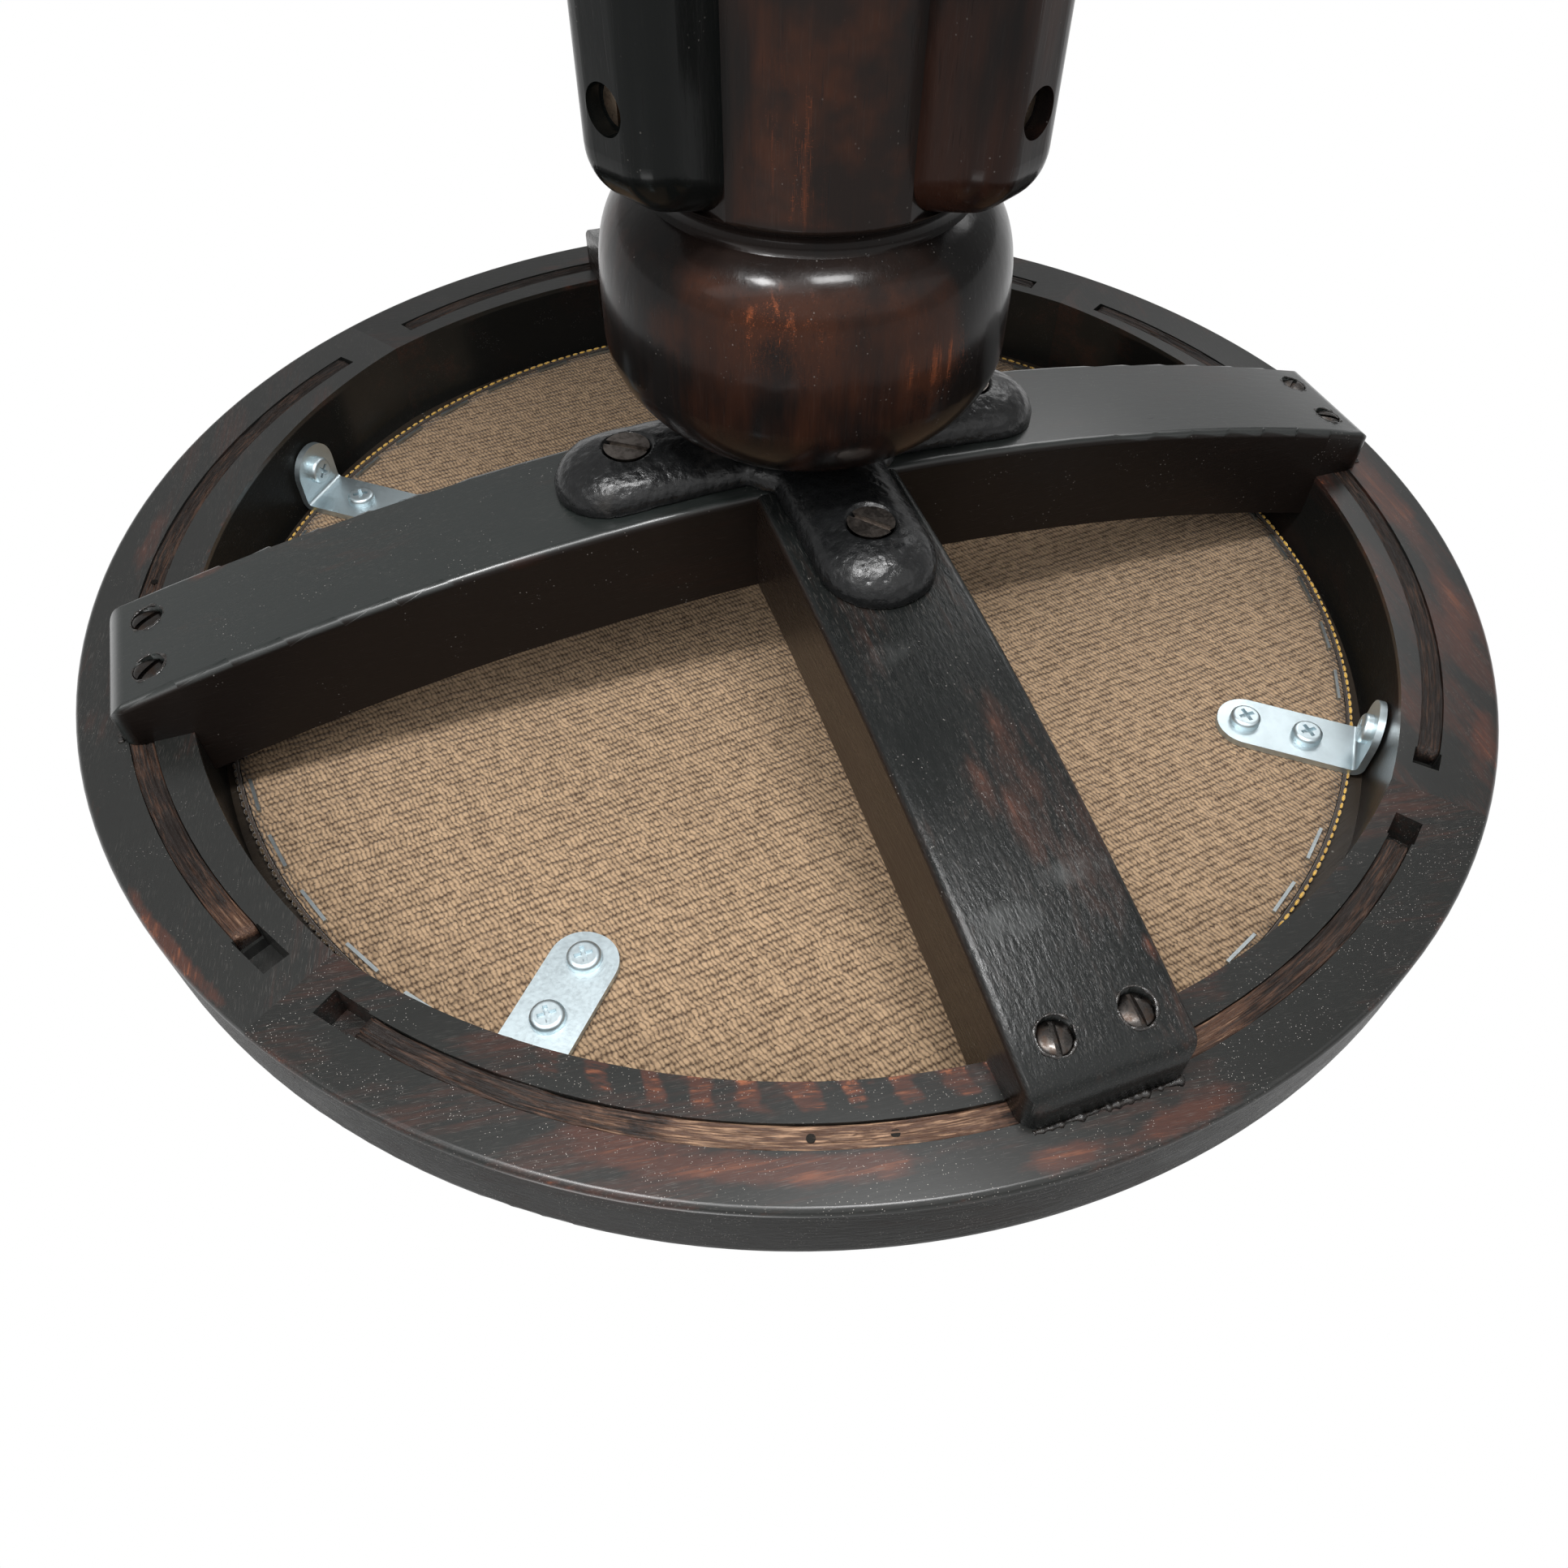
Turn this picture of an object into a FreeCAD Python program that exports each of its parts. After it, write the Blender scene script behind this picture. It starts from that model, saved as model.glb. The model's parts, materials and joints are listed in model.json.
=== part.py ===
"""Revolving piano stool on a screw spindle, modelled upright with the seat wound right down.

Millimetres. The origin is on the floor below the column's axis and Z points up. A seat ring of four curved
pieces is joined by a half-lapped cross of two arched arms. An iron spider holds a screw spindle under the
cross, and the spindle winds through a nut in the top of a turned column on four swept legs.
"""
import FreeCAD, Part
import math
import os

V = FreeCAD.Vector
ORIGIN = V(0, 0, 0)
AXIS_X = V(1, 0, 0)
AXIS_Y = V(0, 1, 0)
AXIS_Z = V(0, 0, 1)

# Heights above the floor and the main clearances
column_top_height = 366.0
rest_gap = 0.3
cut_overrun = 5.0
running_clearance = 0.05
soft_gap = 0.3

# Seat ring: four curved pieces butted end to end, with an opening of four flatter arcs
ring_radius = 180.0
ring_height = 25.0
ring_top_round_radius = 7.0
ring_bottom_round_radius = 1.5
ring_mid_width = 25.2
ring_joint_width = 22.0
ring_joint_angles = (-130.0, -34.0, 56.0, 144.0)
ring_piece_names = ("seat_ring_front", "seat_ring_right", "seat_ring_back", "seat_ring_left")

# Loose tongues glued across the ring's joints
tongue_length = 36.0
tongue_width = 12.0
tongue_thickness = 4.0
tongue_from_rim = 12.0
tongue_height_above_ring = 13.0

# Groove in the ring's underside, a little off centre, with a raw wood strip lying in each quarter
groove_from_rim = 15.0
groove_offset = 1.5
groove_offset_angle = -14.0
groove_width = 5.2
groove_depth = 5.0
strip_width = 4.7
strip_recess = 0.3
strip_inner_gap = 0.35
strip_end_gap = 0.8

# Holes across the groove's ends beside the two front joints: length at each end of each ring piece
dog_hole_lengths = {"front": (7.0, 9.0), "right": (11.0, 0.0), "back": (0.0, 0.0), "left": (0.0, 5.5)}
dog_hole_width = 6.0
dog_hole_depth = 8.0
dog_hole_from_joint = 12.0

# Small nails through the strips
strip_nail_angles = (-76.6, -71.2, 8.0, 14.0, 97.0, 103.0, 184.0, 190.0)
nail_head_radius = 0.9
nail_head_height = 0.5
nail_shank_radius = 0.5
nail_length = 12.0

# Cross arms: arched, half-lapped at the middle and notched under the ring
arm_rise = 34.0
arm_lower_arch_radius = 630.0
arm_upper_arch_radius = 600.0
arm_thickness = 27.0
arm_width = 36.0
arm_end_from_rim = 10.5
arm_end_corner_round_radius = 4.5
arm_edge_round_radius = 2.0

# Iron spider under the crossing, with four round-ended lobes
spider_hub_thickness = 8.0
spider_hub_radius = 24.0
spider_lobe_width = 28.0
spider_lobe_length = 62.0
spider_lobe_round_radius = 6.0

# Screw spindle: square through the hub, held by a washer and a nut in a recess of the cross
spindle_radius = 11.0
thread_pitch = 6.0
thread_depth = 1.6
thread_crest_share = 0.3
thread_root_share = 0.3
thread_first_crest = 2.0
seat_travel = 96.0
spindle_square = 14.0
spindle_end_radius = 7.0
spindle_end_above_nut = 2.0
spindle_washer_radius = 15.0
spindle_washer_thickness = 2.0
spindle_nut_flats = 24.0
spindle_nut_height = 11.0
nut_recess_radius = 17.0
nut_recess_air = 3.0

# Guide bush that keeps the foot of the spindle in the middle of the column's bore
bush_height = 14.0
bush_air_below_nut = 2.0
spindle_tip_radius = 6.0
end_washer_radius = 10.0
end_washer_thickness = 1.5
end_screw_head_radius = 5.0
end_screw_head_height = 3.5
end_screw_shank_radius = 2.5
end_screw_length = 16.0

# Turned column: ball, neck, shaft and a bun-shaped foot
ball_radius = 45.1
ball_widest_drop = 23.3
ball_seat_side_height = 28.2
ball_seat_side_power = 1.78
ball_leg_side_height = 35.3
ball_leg_side_power = 4.27
ball_outline_steps = 10
neck_radius = 35.2
neck_height = 4.5
neck_cove_depth = 1.0
shaft_radius = 37.0
shaft_round_radius = 1.6
shaft_below_legs = 3.4
drop_waist_radius = 27.0
drop_cove_height = 7.0
drop_cove_share = 0.72
drop_belly_radius = 31.0
drop_height = 30.0
drop_tip_radius = 12.0
bore_radius = 13.5
bore_bottom_air = 4.0

# Iron nut let into the top of the column
nut_flange_radius = 21.0
nut_flange_thickness = 4.0
nut_barrel_radius = 15.0
nut_barrel_length = 42.0
nut_screw_circle_radius = 18.0
nut_screw_count = 3
nut_screw_head_radius = 2.4
nut_screw_head_height = 1.6
nut_screw_shank_radius = 1.3
nut_screw_length = 16.0

# Swept legs, glued and screwed to flats on the column's shaft
leg_count = 4
leg_names = ("leg_right", "leg_back", "leg_left", "leg_front")
base_turn_angle = -27.9
leg_width = 22.0
leg_head_reach = 52.5
leg_top_drop = 61.0
leg_head_slope_degrees = 17.0
leg_head_round_radius = 11.0
leg_foot_straight = 15.3
leg_sweep_radius = 165.0
leg_depth = 30.0
leg_sweep_angle = 66.0
leg_ankle_radius = 45.0
leg_ankle_angle = 56.0
leg_toe_curve_radius = 38.0
leg_toe_angle = 40.0
leg_toe_round_radius = 12.0
leg_outer_round_radius = 7.5
leg_inner_round_radius = 2.5

# Dowels and counterbored screws between legs and column
dowel_radius = 5.0
dowel_length = 24.0
dowel_drops = (55.0, 119.0)
leg_screw_drops = (21.0, 89.0)
leg_screw_head_radius = 3.8
leg_screw_head_height = 2.2
leg_screw_shank_radius = 2.2
leg_screw_wall = 5.0
counterbore_radius = 4.3
counterbore_depth = 3.5

# Domed glides under the feet
glide_radius = 9.0
glide_height = 4.0
glide_flat_radius = 4.0
glide_pin_radius = 2.5
glide_pin_length = 12.0

# Screws through the arm ends and the spider
slot_width = 1.1
slot_depth = 1.0
arm_screw_from_rim = 21.2
arm_screw_half_spacing = 8.5
arm_screw_head_radius = 3.8
arm_screw_head_height = 2.4
arm_screw_shank_radius = 1.8
arm_screw_sink = 2.2
arm_screw_length_in_ring = 14.0
spider_screw_radius = 44.0
spider_screw_head_radius = 5.4
spider_screw_head_height = 3.2
spider_screw_shank_radius = 2.6
spider_screw_length = 30.0
spider_screw_sink = 0.6
spider_screw_slot_width = 1.5

# Angle brackets between ring and seat board, with pan-head screws
bracket_angles = (-140.8, -47.8, 38.7, 129.2)
bracket_width = 16.0
bracket_foot_length = 38.0
bracket_wall_length = 17.0
bracket_thickness = 1.8
bracket_bend_round_radius = 3.0
bracket_end_round_share = 0.48
bracket_wall_gap = 0.1
pan_head_radius = 3.9
pan_head_height = 2.3
pan_head_round_radius = 1.1
pan_shank_radius = 1.7
pan_shank_length = 10.0
cross_recess_length = 4.2
cross_recess_width = 1.1
cross_recess_depth = 1.3
foot_screw_distances = (15.0, 31.0)
wall_screw_drop = 9.5

# Upholstered seat: board, underside cloth, stuffing and cover
board_from_rim = 12.0
board_thickness = 9.0
cloth_from_wall = 3.0
cloth_thickness = 1.2
edging_width = 1.9
edging_thickness = 1.8
staple_count = 48
staple_from_cloth_edge = 1.8
staple_crown = 11.0
staple_wire = 0.8
staple_leg = 6.0
staple_bracket_clearance = 10.5
stuffing_bulge = 3.0
stuffing_side_height = 22.0
stuffing_shoulder_inset = 6.0
stuffing_crown_height = 38.0
cover_thickness = 1.6
gimp_height = 8.0
gimp_thickness = 1.8

# Levels and radii that follow from the sizes above
opening_mid_radius = ring_radius - ring_mid_width
opening_joint_radius = ring_radius - ring_joint_width
tongue_radius = ring_radius - tongue_from_rim
groove_radius = ring_radius - groove_from_rim
arm_half_length = ring_radius - arm_end_from_rim
arm_screw_circle_radius = ring_radius - arm_screw_from_rim
board_radius = ring_radius - board_from_rim
cloth_radius = opening_mid_radius - cloth_from_wall
staple_circle_radius = cloth_radius - staple_from_cloth_edge
stuffing_shoulder_radius = board_radius - stuffing_shoulder_inset
leg_top_height = column_top_height - leg_top_drop
dowel_heights = [leg_top_height - drop for drop in dowel_drops]
leg_screw_heights = [leg_top_height - drop for drop in leg_screw_drops]
counterbore_floor = leg_head_reach - counterbore_depth
leg_screw_tip_radius = bore_radius + leg_screw_wall
arm_crown_height = column_top_height + rest_gap + spider_hub_thickness
ring_bottom = arm_crown_height + arm_rise
ring_top = ring_bottom + ring_height
hub_bottom = column_top_height + rest_gap
board_top = ring_top + board_thickness
lap_height = arm_crown_height + arm_thickness / 2
opening_cut_bottom = ring_bottom - cut_overrun
bush_top = column_top_height - nut_barrel_length - bush_air_below_nut - seat_travel
bush_bottom = bush_top - bush_height
spindle_tip_end = bush_bottom
end_washer_bottom = spindle_tip_end - end_washer_thickness
end_screw_bottom = end_washer_bottom - end_screw_head_height
bore_bottom = end_screw_bottom - bore_bottom_air
leg_flat = math.sqrt(shaft_radius ** 2 - (leg_width / 2) ** 2)
sweep_turn = math.radians(leg_sweep_angle)
foot_turn = sweep_turn - math.radians(leg_ankle_angle)
toe_end_turn = foot_turn + math.radians(leg_toe_angle)
leg_sweep_start_height = glide_height + leg_foot_straight
leg_sweep_start_height += (leg_sweep_radius + leg_ankle_radius) * math.sin(sweep_turn)
leg_sweep_start_height -= (leg_ankle_radius + leg_toe_curve_radius) * math.sin(foot_turn)
leg_sweep_start_height += (leg_toe_curve_radius + leg_toe_round_radius) * math.sin(toe_end_turn)


def polar(radius, degrees, height):
    """Point at a radius, an angle about the column's axis and a height."""
    turn = math.radians(degrees)
    return V(radius * math.cos(turn), radius * math.sin(turn), height)


def turned(shape, degrees):
    """Copy of a shape turned about the column's axis."""
    copy = shape.copy()
    copy.rotate(ORIGIN, AXIS_Z, degrees)
    return copy


def moved(shape, vector):
    """Copy of a shape moved along a vector."""
    copy = shape.copy()
    copy.translate(vector)
    return copy


def disc(radius, bottom, top):
    """Upright cylinder about the column's axis, between two heights."""
    return Part.makeCylinder(radius, top - bottom, V(0, 0, bottom), AXIS_Z)


def line(start, end):
    return Part.LineSegment(start, end).toShape()


def arc(start, middle, end):
    return Part.Arc(start, middle, end).toShape()


def side_point(radius, height):
    """Point of an outline drawn in the XZ plane."""
    return V(radius, 0, height)


def revolved(edges, degrees=360):
    """Solid swept about the column's axis by an outline in the XZ plane."""
    face = Part.Face(Part.Wire(edges))
    return face.revolve(ORIGIN, AXIS_Z, degrees)


def revolved_polygon(points, degrees=360):
    outline = Part.makePolygon([side_point(*point) for point in points + [points[0]]])
    return Part.Face(outline).revolve(ORIGIN, AXIS_Z, degrees)


def circle_arc_points(centre, radius, start_angle, end_angle):
    """Start, middle and end of an arc in the XZ plane, with angles in radians."""
    angles = (start_angle, (start_angle + end_angle) / 2, end_angle)
    return [side_point(centre[0] + radius * math.cos(a), centre[1] + radius * math.sin(a)) for a in angles]


def joined(shapes):
    """One solid from overlapping or touching shapes."""
    result = shapes[0]
    for shape in shapes[1:]:
        result = result.fuse(shape)
    return result.removeSplitter()


def export(name, *solids):
    """Write one node, as a single solid or a group of separate solids."""
    shape = solids[0] if len(solids) == 1 else Part.makeCompound(list(solids))
    if not shape.isValid() or shape.Volume <= 0:
        raise RuntimeError(name + " is not a valid closed solid")
    shape.exportStep("parts/" + name + ".step")
    print(name, len(shape.Solids), "solids", round(shape.Volume / 1000, 2), "cm3")


# Screws, each made standing on its tip's axis with the head's face at the origin and the tip upwards


def countersunk_screw(head_radius, head_height, shank_radius, length, width, depth):
    """Slotted wood screw: its head's face is at z = 0 and its tip points up."""
    tip_height = shank_radius * 2
    body = revolved_polygon([
        (0, 0), (head_radius, 0), (shank_radius, head_height),
        (shank_radius, length - tip_height), (0, length),
    ])
    slot = Part.makeBox(head_radius * 4, width, depth * 2, V(-head_radius * 2, -width / 2, -depth))
    return body, body.cut(slot)


def pan_screw():
    """Cross-recessed pan-head screw: the head's seat is at z = 0 and its tip points up."""
    head = Part.makeCylinder(pan_head_radius, pan_head_height, V(0, 0, -pan_head_height), AXIS_Z)
    rim = [edge for edge in head.Edges if edge.BoundBox.ZMax < -pan_head_height / 2]
    head = head.makeFillet(pan_head_round_radius, rim)
    shank = revolved_polygon([
        (0, 0), (pan_shank_radius, 0), (pan_shank_radius, pan_shank_length - pan_shank_radius * 2),
        (0, pan_shank_length),
    ])
    recess_base = -pan_head_height - cut_overrun
    recess_height = cut_overrun + cross_recess_depth
    bar = Part.makeBox(cross_recess_length, cross_recess_width, recess_height,
                       V(-cross_recess_length / 2, -cross_recess_width / 2, recess_base))
    recess = bar.fuse(turned(bar, 90))
    return shank, joined([head, shank]).cut(recess)


def stood(shape, place, direction):
    """Copy of a screw with its axis along a direction and its origin at a place."""
    copy = shape.copy()
    copy.Placement = FreeCAD.Placement(place, FreeCAD.Rotation(AXIS_Z, direction))
    return copy


# Seat ring


def joint_spans():
    """Start angle, span and middle angle of each ring piece."""
    spans = []
    for index, start in enumerate(ring_joint_angles):
        end = ring_joint_angles[(index + 1) % len(ring_joint_angles)]
        span = (end - start) % 360
        spans.append((start, span, start + span / 2))
    return spans


def opening_arc(span):
    """Centre offset and radius of the arc that one ring piece gives to the opening."""
    half = math.radians(span / 2)
    offset = opening_joint_radius ** 2 - opening_mid_radius ** 2
    offset /= 2 * (opening_mid_radius - opening_joint_radius * math.cos(half))
    return offset, opening_mid_radius + offset


def opening_radius(degrees):
    """Distance from the axis to the ring's inner wall at an angle."""
    for start, span, middle in joint_spans():
        if (degrees - start) % 360 <= span:
            offset, radius = opening_arc(span)
            turn = math.radians(degrees - middle)
            return math.sqrt(radius ** 2 - (offset * math.sin(turn)) ** 2) - offset * math.cos(turn)
    return opening_mid_radius


def ring_blank(start, span, middle):
    """One curved ring piece before it is grooved."""
    top_bulge = ring_top_round_radius * math.sqrt(0.5)
    low_bulge = ring_bottom_round_radius * math.sqrt(0.5)
    top_centre = (ring_radius - ring_top_round_radius, ring_top - ring_top_round_radius)
    low_centre = (ring_radius - ring_bottom_round_radius, ring_bottom + ring_bottom_round_radius)
    edges = [
        line(side_point(0, ring_bottom), side_point(low_centre[0], ring_bottom)),
        arc(side_point(low_centre[0], ring_bottom),
            side_point(low_centre[0] + low_bulge, low_centre[1] - low_bulge),
            side_point(ring_radius, low_centre[1])),
        line(side_point(ring_radius, low_centre[1]), side_point(ring_radius, top_centre[1])),
        arc(side_point(ring_radius, top_centre[1]),
            side_point(top_centre[0] + top_bulge, top_centre[1] + top_bulge),
            side_point(top_centre[0], ring_top)),
        line(side_point(top_centre[0], ring_top), side_point(0, ring_top)),
        line(side_point(0, ring_top), side_point(0, ring_bottom)),
    ]
    sector = turned(revolved(edges, span), start)
    offset, radius = opening_arc(span)
    hole_centre = polar(-offset, middle, opening_cut_bottom)
    hole = Part.makeCylinder(radius, ring_height + 2 * cut_overrun, hole_centre, AXIS_Z)
    return sector.cut(hole)


def groove_centre():
    return polar(groove_offset, groove_offset_angle, 0)


def groove_point_angle(degrees, shift):
    """Angle about the groove's own centre, moved along the groove by a length."""
    return degrees + math.degrees(shift / groove_radius)


def band(inner_radius, outer_radius, bottom, top, start, end):
    """Curved bar about the groove's centre, between two radii, heights and angles."""
    outline = revolved_polygon([
        (inner_radius, bottom), (outer_radius, bottom), (outer_radius, top), (inner_radius, top),
    ], end - start)
    return moved(turned(outline, start), groove_centre())


def dog_hole(degrees, length):
    """Oblong hole across the groove at an angle about the groove's centre."""
    box = Part.makeBox(dog_hole_width, length, dog_hole_depth + cut_overrun,
                       V(groove_radius - dog_hole_width / 2, -length / 2, opening_cut_bottom))
    return moved(turned(box, degrees), groove_centre())


def make_strip_nail(degrees):
    strip_middle = groove_radius - groove_width / 2 + strip_inner_gap + strip_width / 2
    nail = revolved_polygon([
        (0, 0), (nail_head_radius, 0), (nail_head_radius, nail_head_height),
        (nail_shank_radius, nail_head_height), (nail_shank_radius, nail_length), (0, nail_length),
    ])
    place = polar(strip_middle, degrees, ring_bottom + strip_recess) + groove_centre()
    return moved(nail, place)


def make_ring():
    """Ring pieces, tongues, strips and nails, as lists of solids."""
    blanks = [ring_blank(*piece) for piece in joint_spans()]
    tongue_base = ring_bottom + tongue_height_above_ring
    tongue = Part.makeBox(tongue_width, tongue_length, tongue_thickness,
                          V(tongue_radius - tongue_width / 2, -tongue_length / 2, tongue_base))
    tongues = [turned(tongue, angle) for angle in ring_joint_angles]
    nails = [make_strip_nail(angle) for angle in strip_nail_angles]
    nail_group = Part.makeCompound(nails)
    inner = groove_radius - groove_width / 2
    pieces = []
    strips = []
    for name, blank, (start, span, _) in zip(dog_hole_lengths, blanks, joint_spans()):
        first_length, last_length = dog_hole_lengths[name]
        first = groove_point_angle(start, dog_hole_from_joint)
        last = groove_point_angle(start + span, -dog_hole_from_joint)
        groove = band(inner, inner + groove_width, opening_cut_bottom, ring_bottom + groove_depth, first, last)
        piece = blank.cut(groove)
        for angle, length in ((first, first_length), (last, last_length)):
            if length:
                piece = piece.cut(dog_hole(angle, length))
        piece = piece.cut(Part.makeCompound(tongues)).cut(nail_group)
        pieces.append(piece)
        strip_inner = inner + strip_inner_gap
        strip = band(strip_inner, strip_inner + strip_width, ring_bottom + strip_recess,
                     ring_bottom + groove_depth, groove_point_angle(first, first_length / 2 + strip_end_gap),
                     groove_point_angle(last, -last_length / 2 - strip_end_gap))
        strips.append(strip.cut(nail_group))
    return blanks, pieces, tongues, strips, nails


# Cross arms


def arch_height(base, radius, distance):
    """Height of an arch that rises from its middle, at a distance from the middle."""
    return base + radius - math.sqrt(radius ** 2 - distance ** 2)


def arm_outline_face():
    """Side view of an arm, in the XZ plane."""
    upper_base = arm_crown_height + arm_thickness
    end = arm_half_length
    low_end = arch_height(arm_crown_height, arm_lower_arch_radius, end)
    high_end = arch_height(upper_base, arm_upper_arch_radius, end)
    edges = [
        arc(side_point(-end, low_end), side_point(0, arm_crown_height), side_point(end, low_end)),
        line(side_point(end, low_end), side_point(end, high_end)),
        arc(side_point(end, high_end), side_point(0, upper_base), side_point(-end, high_end)),
        line(side_point(-end, high_end), side_point(-end, low_end)),
    ]
    return Part.Face(Part.Wire(edges))


def arm_blank():
    """Arm along X with rounded ends and edges, before its joints are cut."""
    body = moved(arm_outline_face(), V(0, -arm_width / 2, 0)).extrude(V(0, arm_width, 0))
    ends = [edge for edge in body.Edges
            if edge.BoundBox.XLength < rest_gap and edge.BoundBox.YLength < rest_gap]
    body = body.makeFillet(arm_end_corner_round_radius, ends)
    lower_limit = arch_height(arm_crown_height, arm_lower_arch_radius, arm_half_length)
    rim = [edge for edge in body.Edges if edge.BoundBox.ZMax < lower_limit + rest_gap]
    return body.makeFillet(arm_edge_round_radius, rim)


def lap_box(bottom, top):
    half = arm_width / 2
    return Part.makeBox(arm_width, arm_width, top - bottom, V(-half, -half, bottom))


def arm_screw_places():
    """Places of the two screws in each arm end, with the height of the arm's face there."""
    places = []
    for quarter in range(4):
        for side in (-1, 1):
            point = V(arm_screw_circle_radius, side * arm_screw_half_spacing, 0)
            height = arch_height(arm_crown_height, arm_lower_arch_radius, arm_screw_circle_radius)
            place = FreeCAD.Rotation(AXIS_Z, 90 * quarter).multVec(point) + V(0, 0, height)
            places.append((place, 90 * quarter))
    return places


def make_arm_screws():
    """Arm-end screws and the holes that they need."""
    screws = []
    holes = []
    for place, quarter in arm_screw_places():
        head = place + V(0, 0, arm_screw_sink)
        length = ring_bottom + arm_screw_length_in_ring - head.z
        body, screw = countersunk_screw(arm_screw_head_radius, arm_screw_head_height,
                                        arm_screw_shank_radius, length, slot_width, slot_depth)
        screws.append(moved(turned(screw, quarter + place.x * 3), head))
        mouth = Part.makeCylinder(arm_screw_head_radius, cut_overrun + arm_screw_sink,
                                  place - V(0, 0, cut_overrun), AXIS_Z)
        holes.append(moved(body, head).fuse(mouth))
    return screws, Part.makeCompound(holes)


def make_spider_screws():
    """Spider screws and the holes that they need."""
    body, screw = countersunk_screw(spider_screw_head_radius, spider_screw_head_height,
                                    spider_screw_shank_radius, spider_screw_length,
                                    spider_screw_slot_width, slot_depth)
    mouth = Part.makeCylinder(spider_screw_head_radius, cut_overrun, V(0, 0, -cut_overrun), AXIS_Z)
    screws = []
    holes = []
    for quarter in range(4):
        place = polar(spider_screw_radius, 90 * quarter, hub_bottom + spider_screw_sink)
        screws.append(moved(turned(screw, 90 * quarter + 35 * (quarter + 1)), place))
        holes.append(moved(body.fuse(mouth), place))
    return screws, Part.makeCompound(holes)


def make_arms(ring_blanks, screw_holes):
    """The two half-lapped cross arms: along X and along Y."""
    blank = arm_blank()
    lowest = arm_crown_height - cut_overrun
    highest = ring_top + cut_overrun
    recess_top = (arm_crown_height + spindle_washer_thickness + spindle_nut_height
                  + spindle_end_above_nut + nut_recess_air)
    recess = disc(nut_recess_radius, lowest, recess_top)
    arms = []
    for quarter, lap in ((0, lap_box(lap_height, highest)), (90, lap_box(lowest, lap_height))):
        arm = turned(blank, quarter).cut(lap)
        for ring_piece in ring_blanks:
            arm = arm.cut(ring_piece)
        arm = arm.cut(recess)
        for holes in screw_holes:
            arm = arm.cut(holes)
        arms.append(arm)
    return arms


# Iron spider, spindle and its fixings


def lobe_pair(quarter):
    """Two opposite lobes, domed by rounding the edge of their lower face."""
    half = spider_lobe_width / 2
    straight = spider_lobe_length - half
    top = arm_crown_height + arm_thickness / 2
    edges = [
        line(V(-straight, -half, hub_bottom), V(straight, -half, hub_bottom)),
        arc(V(straight, -half, hub_bottom), V(spider_lobe_length, 0, hub_bottom),
            V(straight, half, hub_bottom)),
        line(V(straight, half, hub_bottom), V(-straight, half, hub_bottom)),
        arc(V(-straight, half, hub_bottom), V(-spider_lobe_length, 0, hub_bottom),
            V(-straight, -half, hub_bottom)),
    ]
    body = Part.Face(Part.Wire(edges)).extrude(V(0, 0, top - hub_bottom))
    rim = [edge for edge in body.Edges if edge.BoundBox.ZMax < hub_bottom + rest_gap]
    return turned(body.makeFillet(spider_lobe_round_radius, rim), quarter)


def make_spindle():
    """Spindle with ring-shaped threads, a square neck, a threaded top and a plain tip."""
    outline = [(0, spindle_tip_end), (spindle_tip_radius, spindle_tip_end), (spindle_tip_radius, bush_top)]
    root = spindle_radius - thread_depth
    flank = thread_pitch * (1 - thread_crest_share - thread_root_share) / 2
    crest = thread_pitch * thread_crest_share
    height = bush_top
    outline.append((root, height))
    last_root = hub_bottom - thread_first_crest - thread_pitch
    while height + thread_pitch * thread_root_share < last_root:
        height += thread_pitch * thread_root_share
        outline.append((root, height))
        outline.append((spindle_radius, height + flank))
        outline.append((spindle_radius, height + flank + crest))
        height += thread_pitch * (1 - thread_root_share)
        outline.append((root, height))
    outline.append((spindle_radius, height + flank))
    outline.append((spindle_radius, hub_bottom))
    outline.append((0, hub_bottom))
    screw = revolved_polygon(outline)
    half = spindle_square / 2
    neck = Part.makeBox(spindle_square, spindle_square, arm_crown_height - hub_bottom,
                        V(-half, -half, hub_bottom))
    end_top = arm_crown_height + spindle_washer_thickness + spindle_nut_height + spindle_end_above_nut
    top = disc(spindle_end_radius, arm_crown_height, end_top)
    end_hole = disc(end_screw_shank_radius, spindle_tip_end, spindle_tip_end + end_screw_length)
    return joined([screw, neck, top]).cut(end_hole)


def make_spider(arms, spindle, screw_holes):
    """Iron spider whose upper face follows the arms that it carries."""
    hub = disc(spider_hub_radius, hub_bottom, arm_crown_height)
    body = joined([lobe_pair(0), lobe_pair(90), hub])
    for arm in arms:
        body = body.cut(arm)
    body = body.cut(disc(nut_recess_radius, arm_crown_height, arm_crown_height + arm_thickness))
    return body.cut(spindle).cut(screw_holes)


def make_spindle_fixings():
    """Washer and hexagon nut above the hub."""
    washer_top = arm_crown_height + spindle_washer_thickness
    hole = disc(spindle_end_radius, arm_crown_height, washer_top + spindle_nut_height)
    washer = disc(spindle_washer_radius, arm_crown_height, washer_top).cut(hole)
    corner = spindle_nut_flats / 2 / math.cos(math.pi / 6)
    hexagon = Part.makePolygon([polar(corner, 60 * side, washer_top) for side in range(7)])
    nut = Part.Face(hexagon).extrude(V(0, 0, spindle_nut_height)).cut(hole)
    return washer, nut


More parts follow.
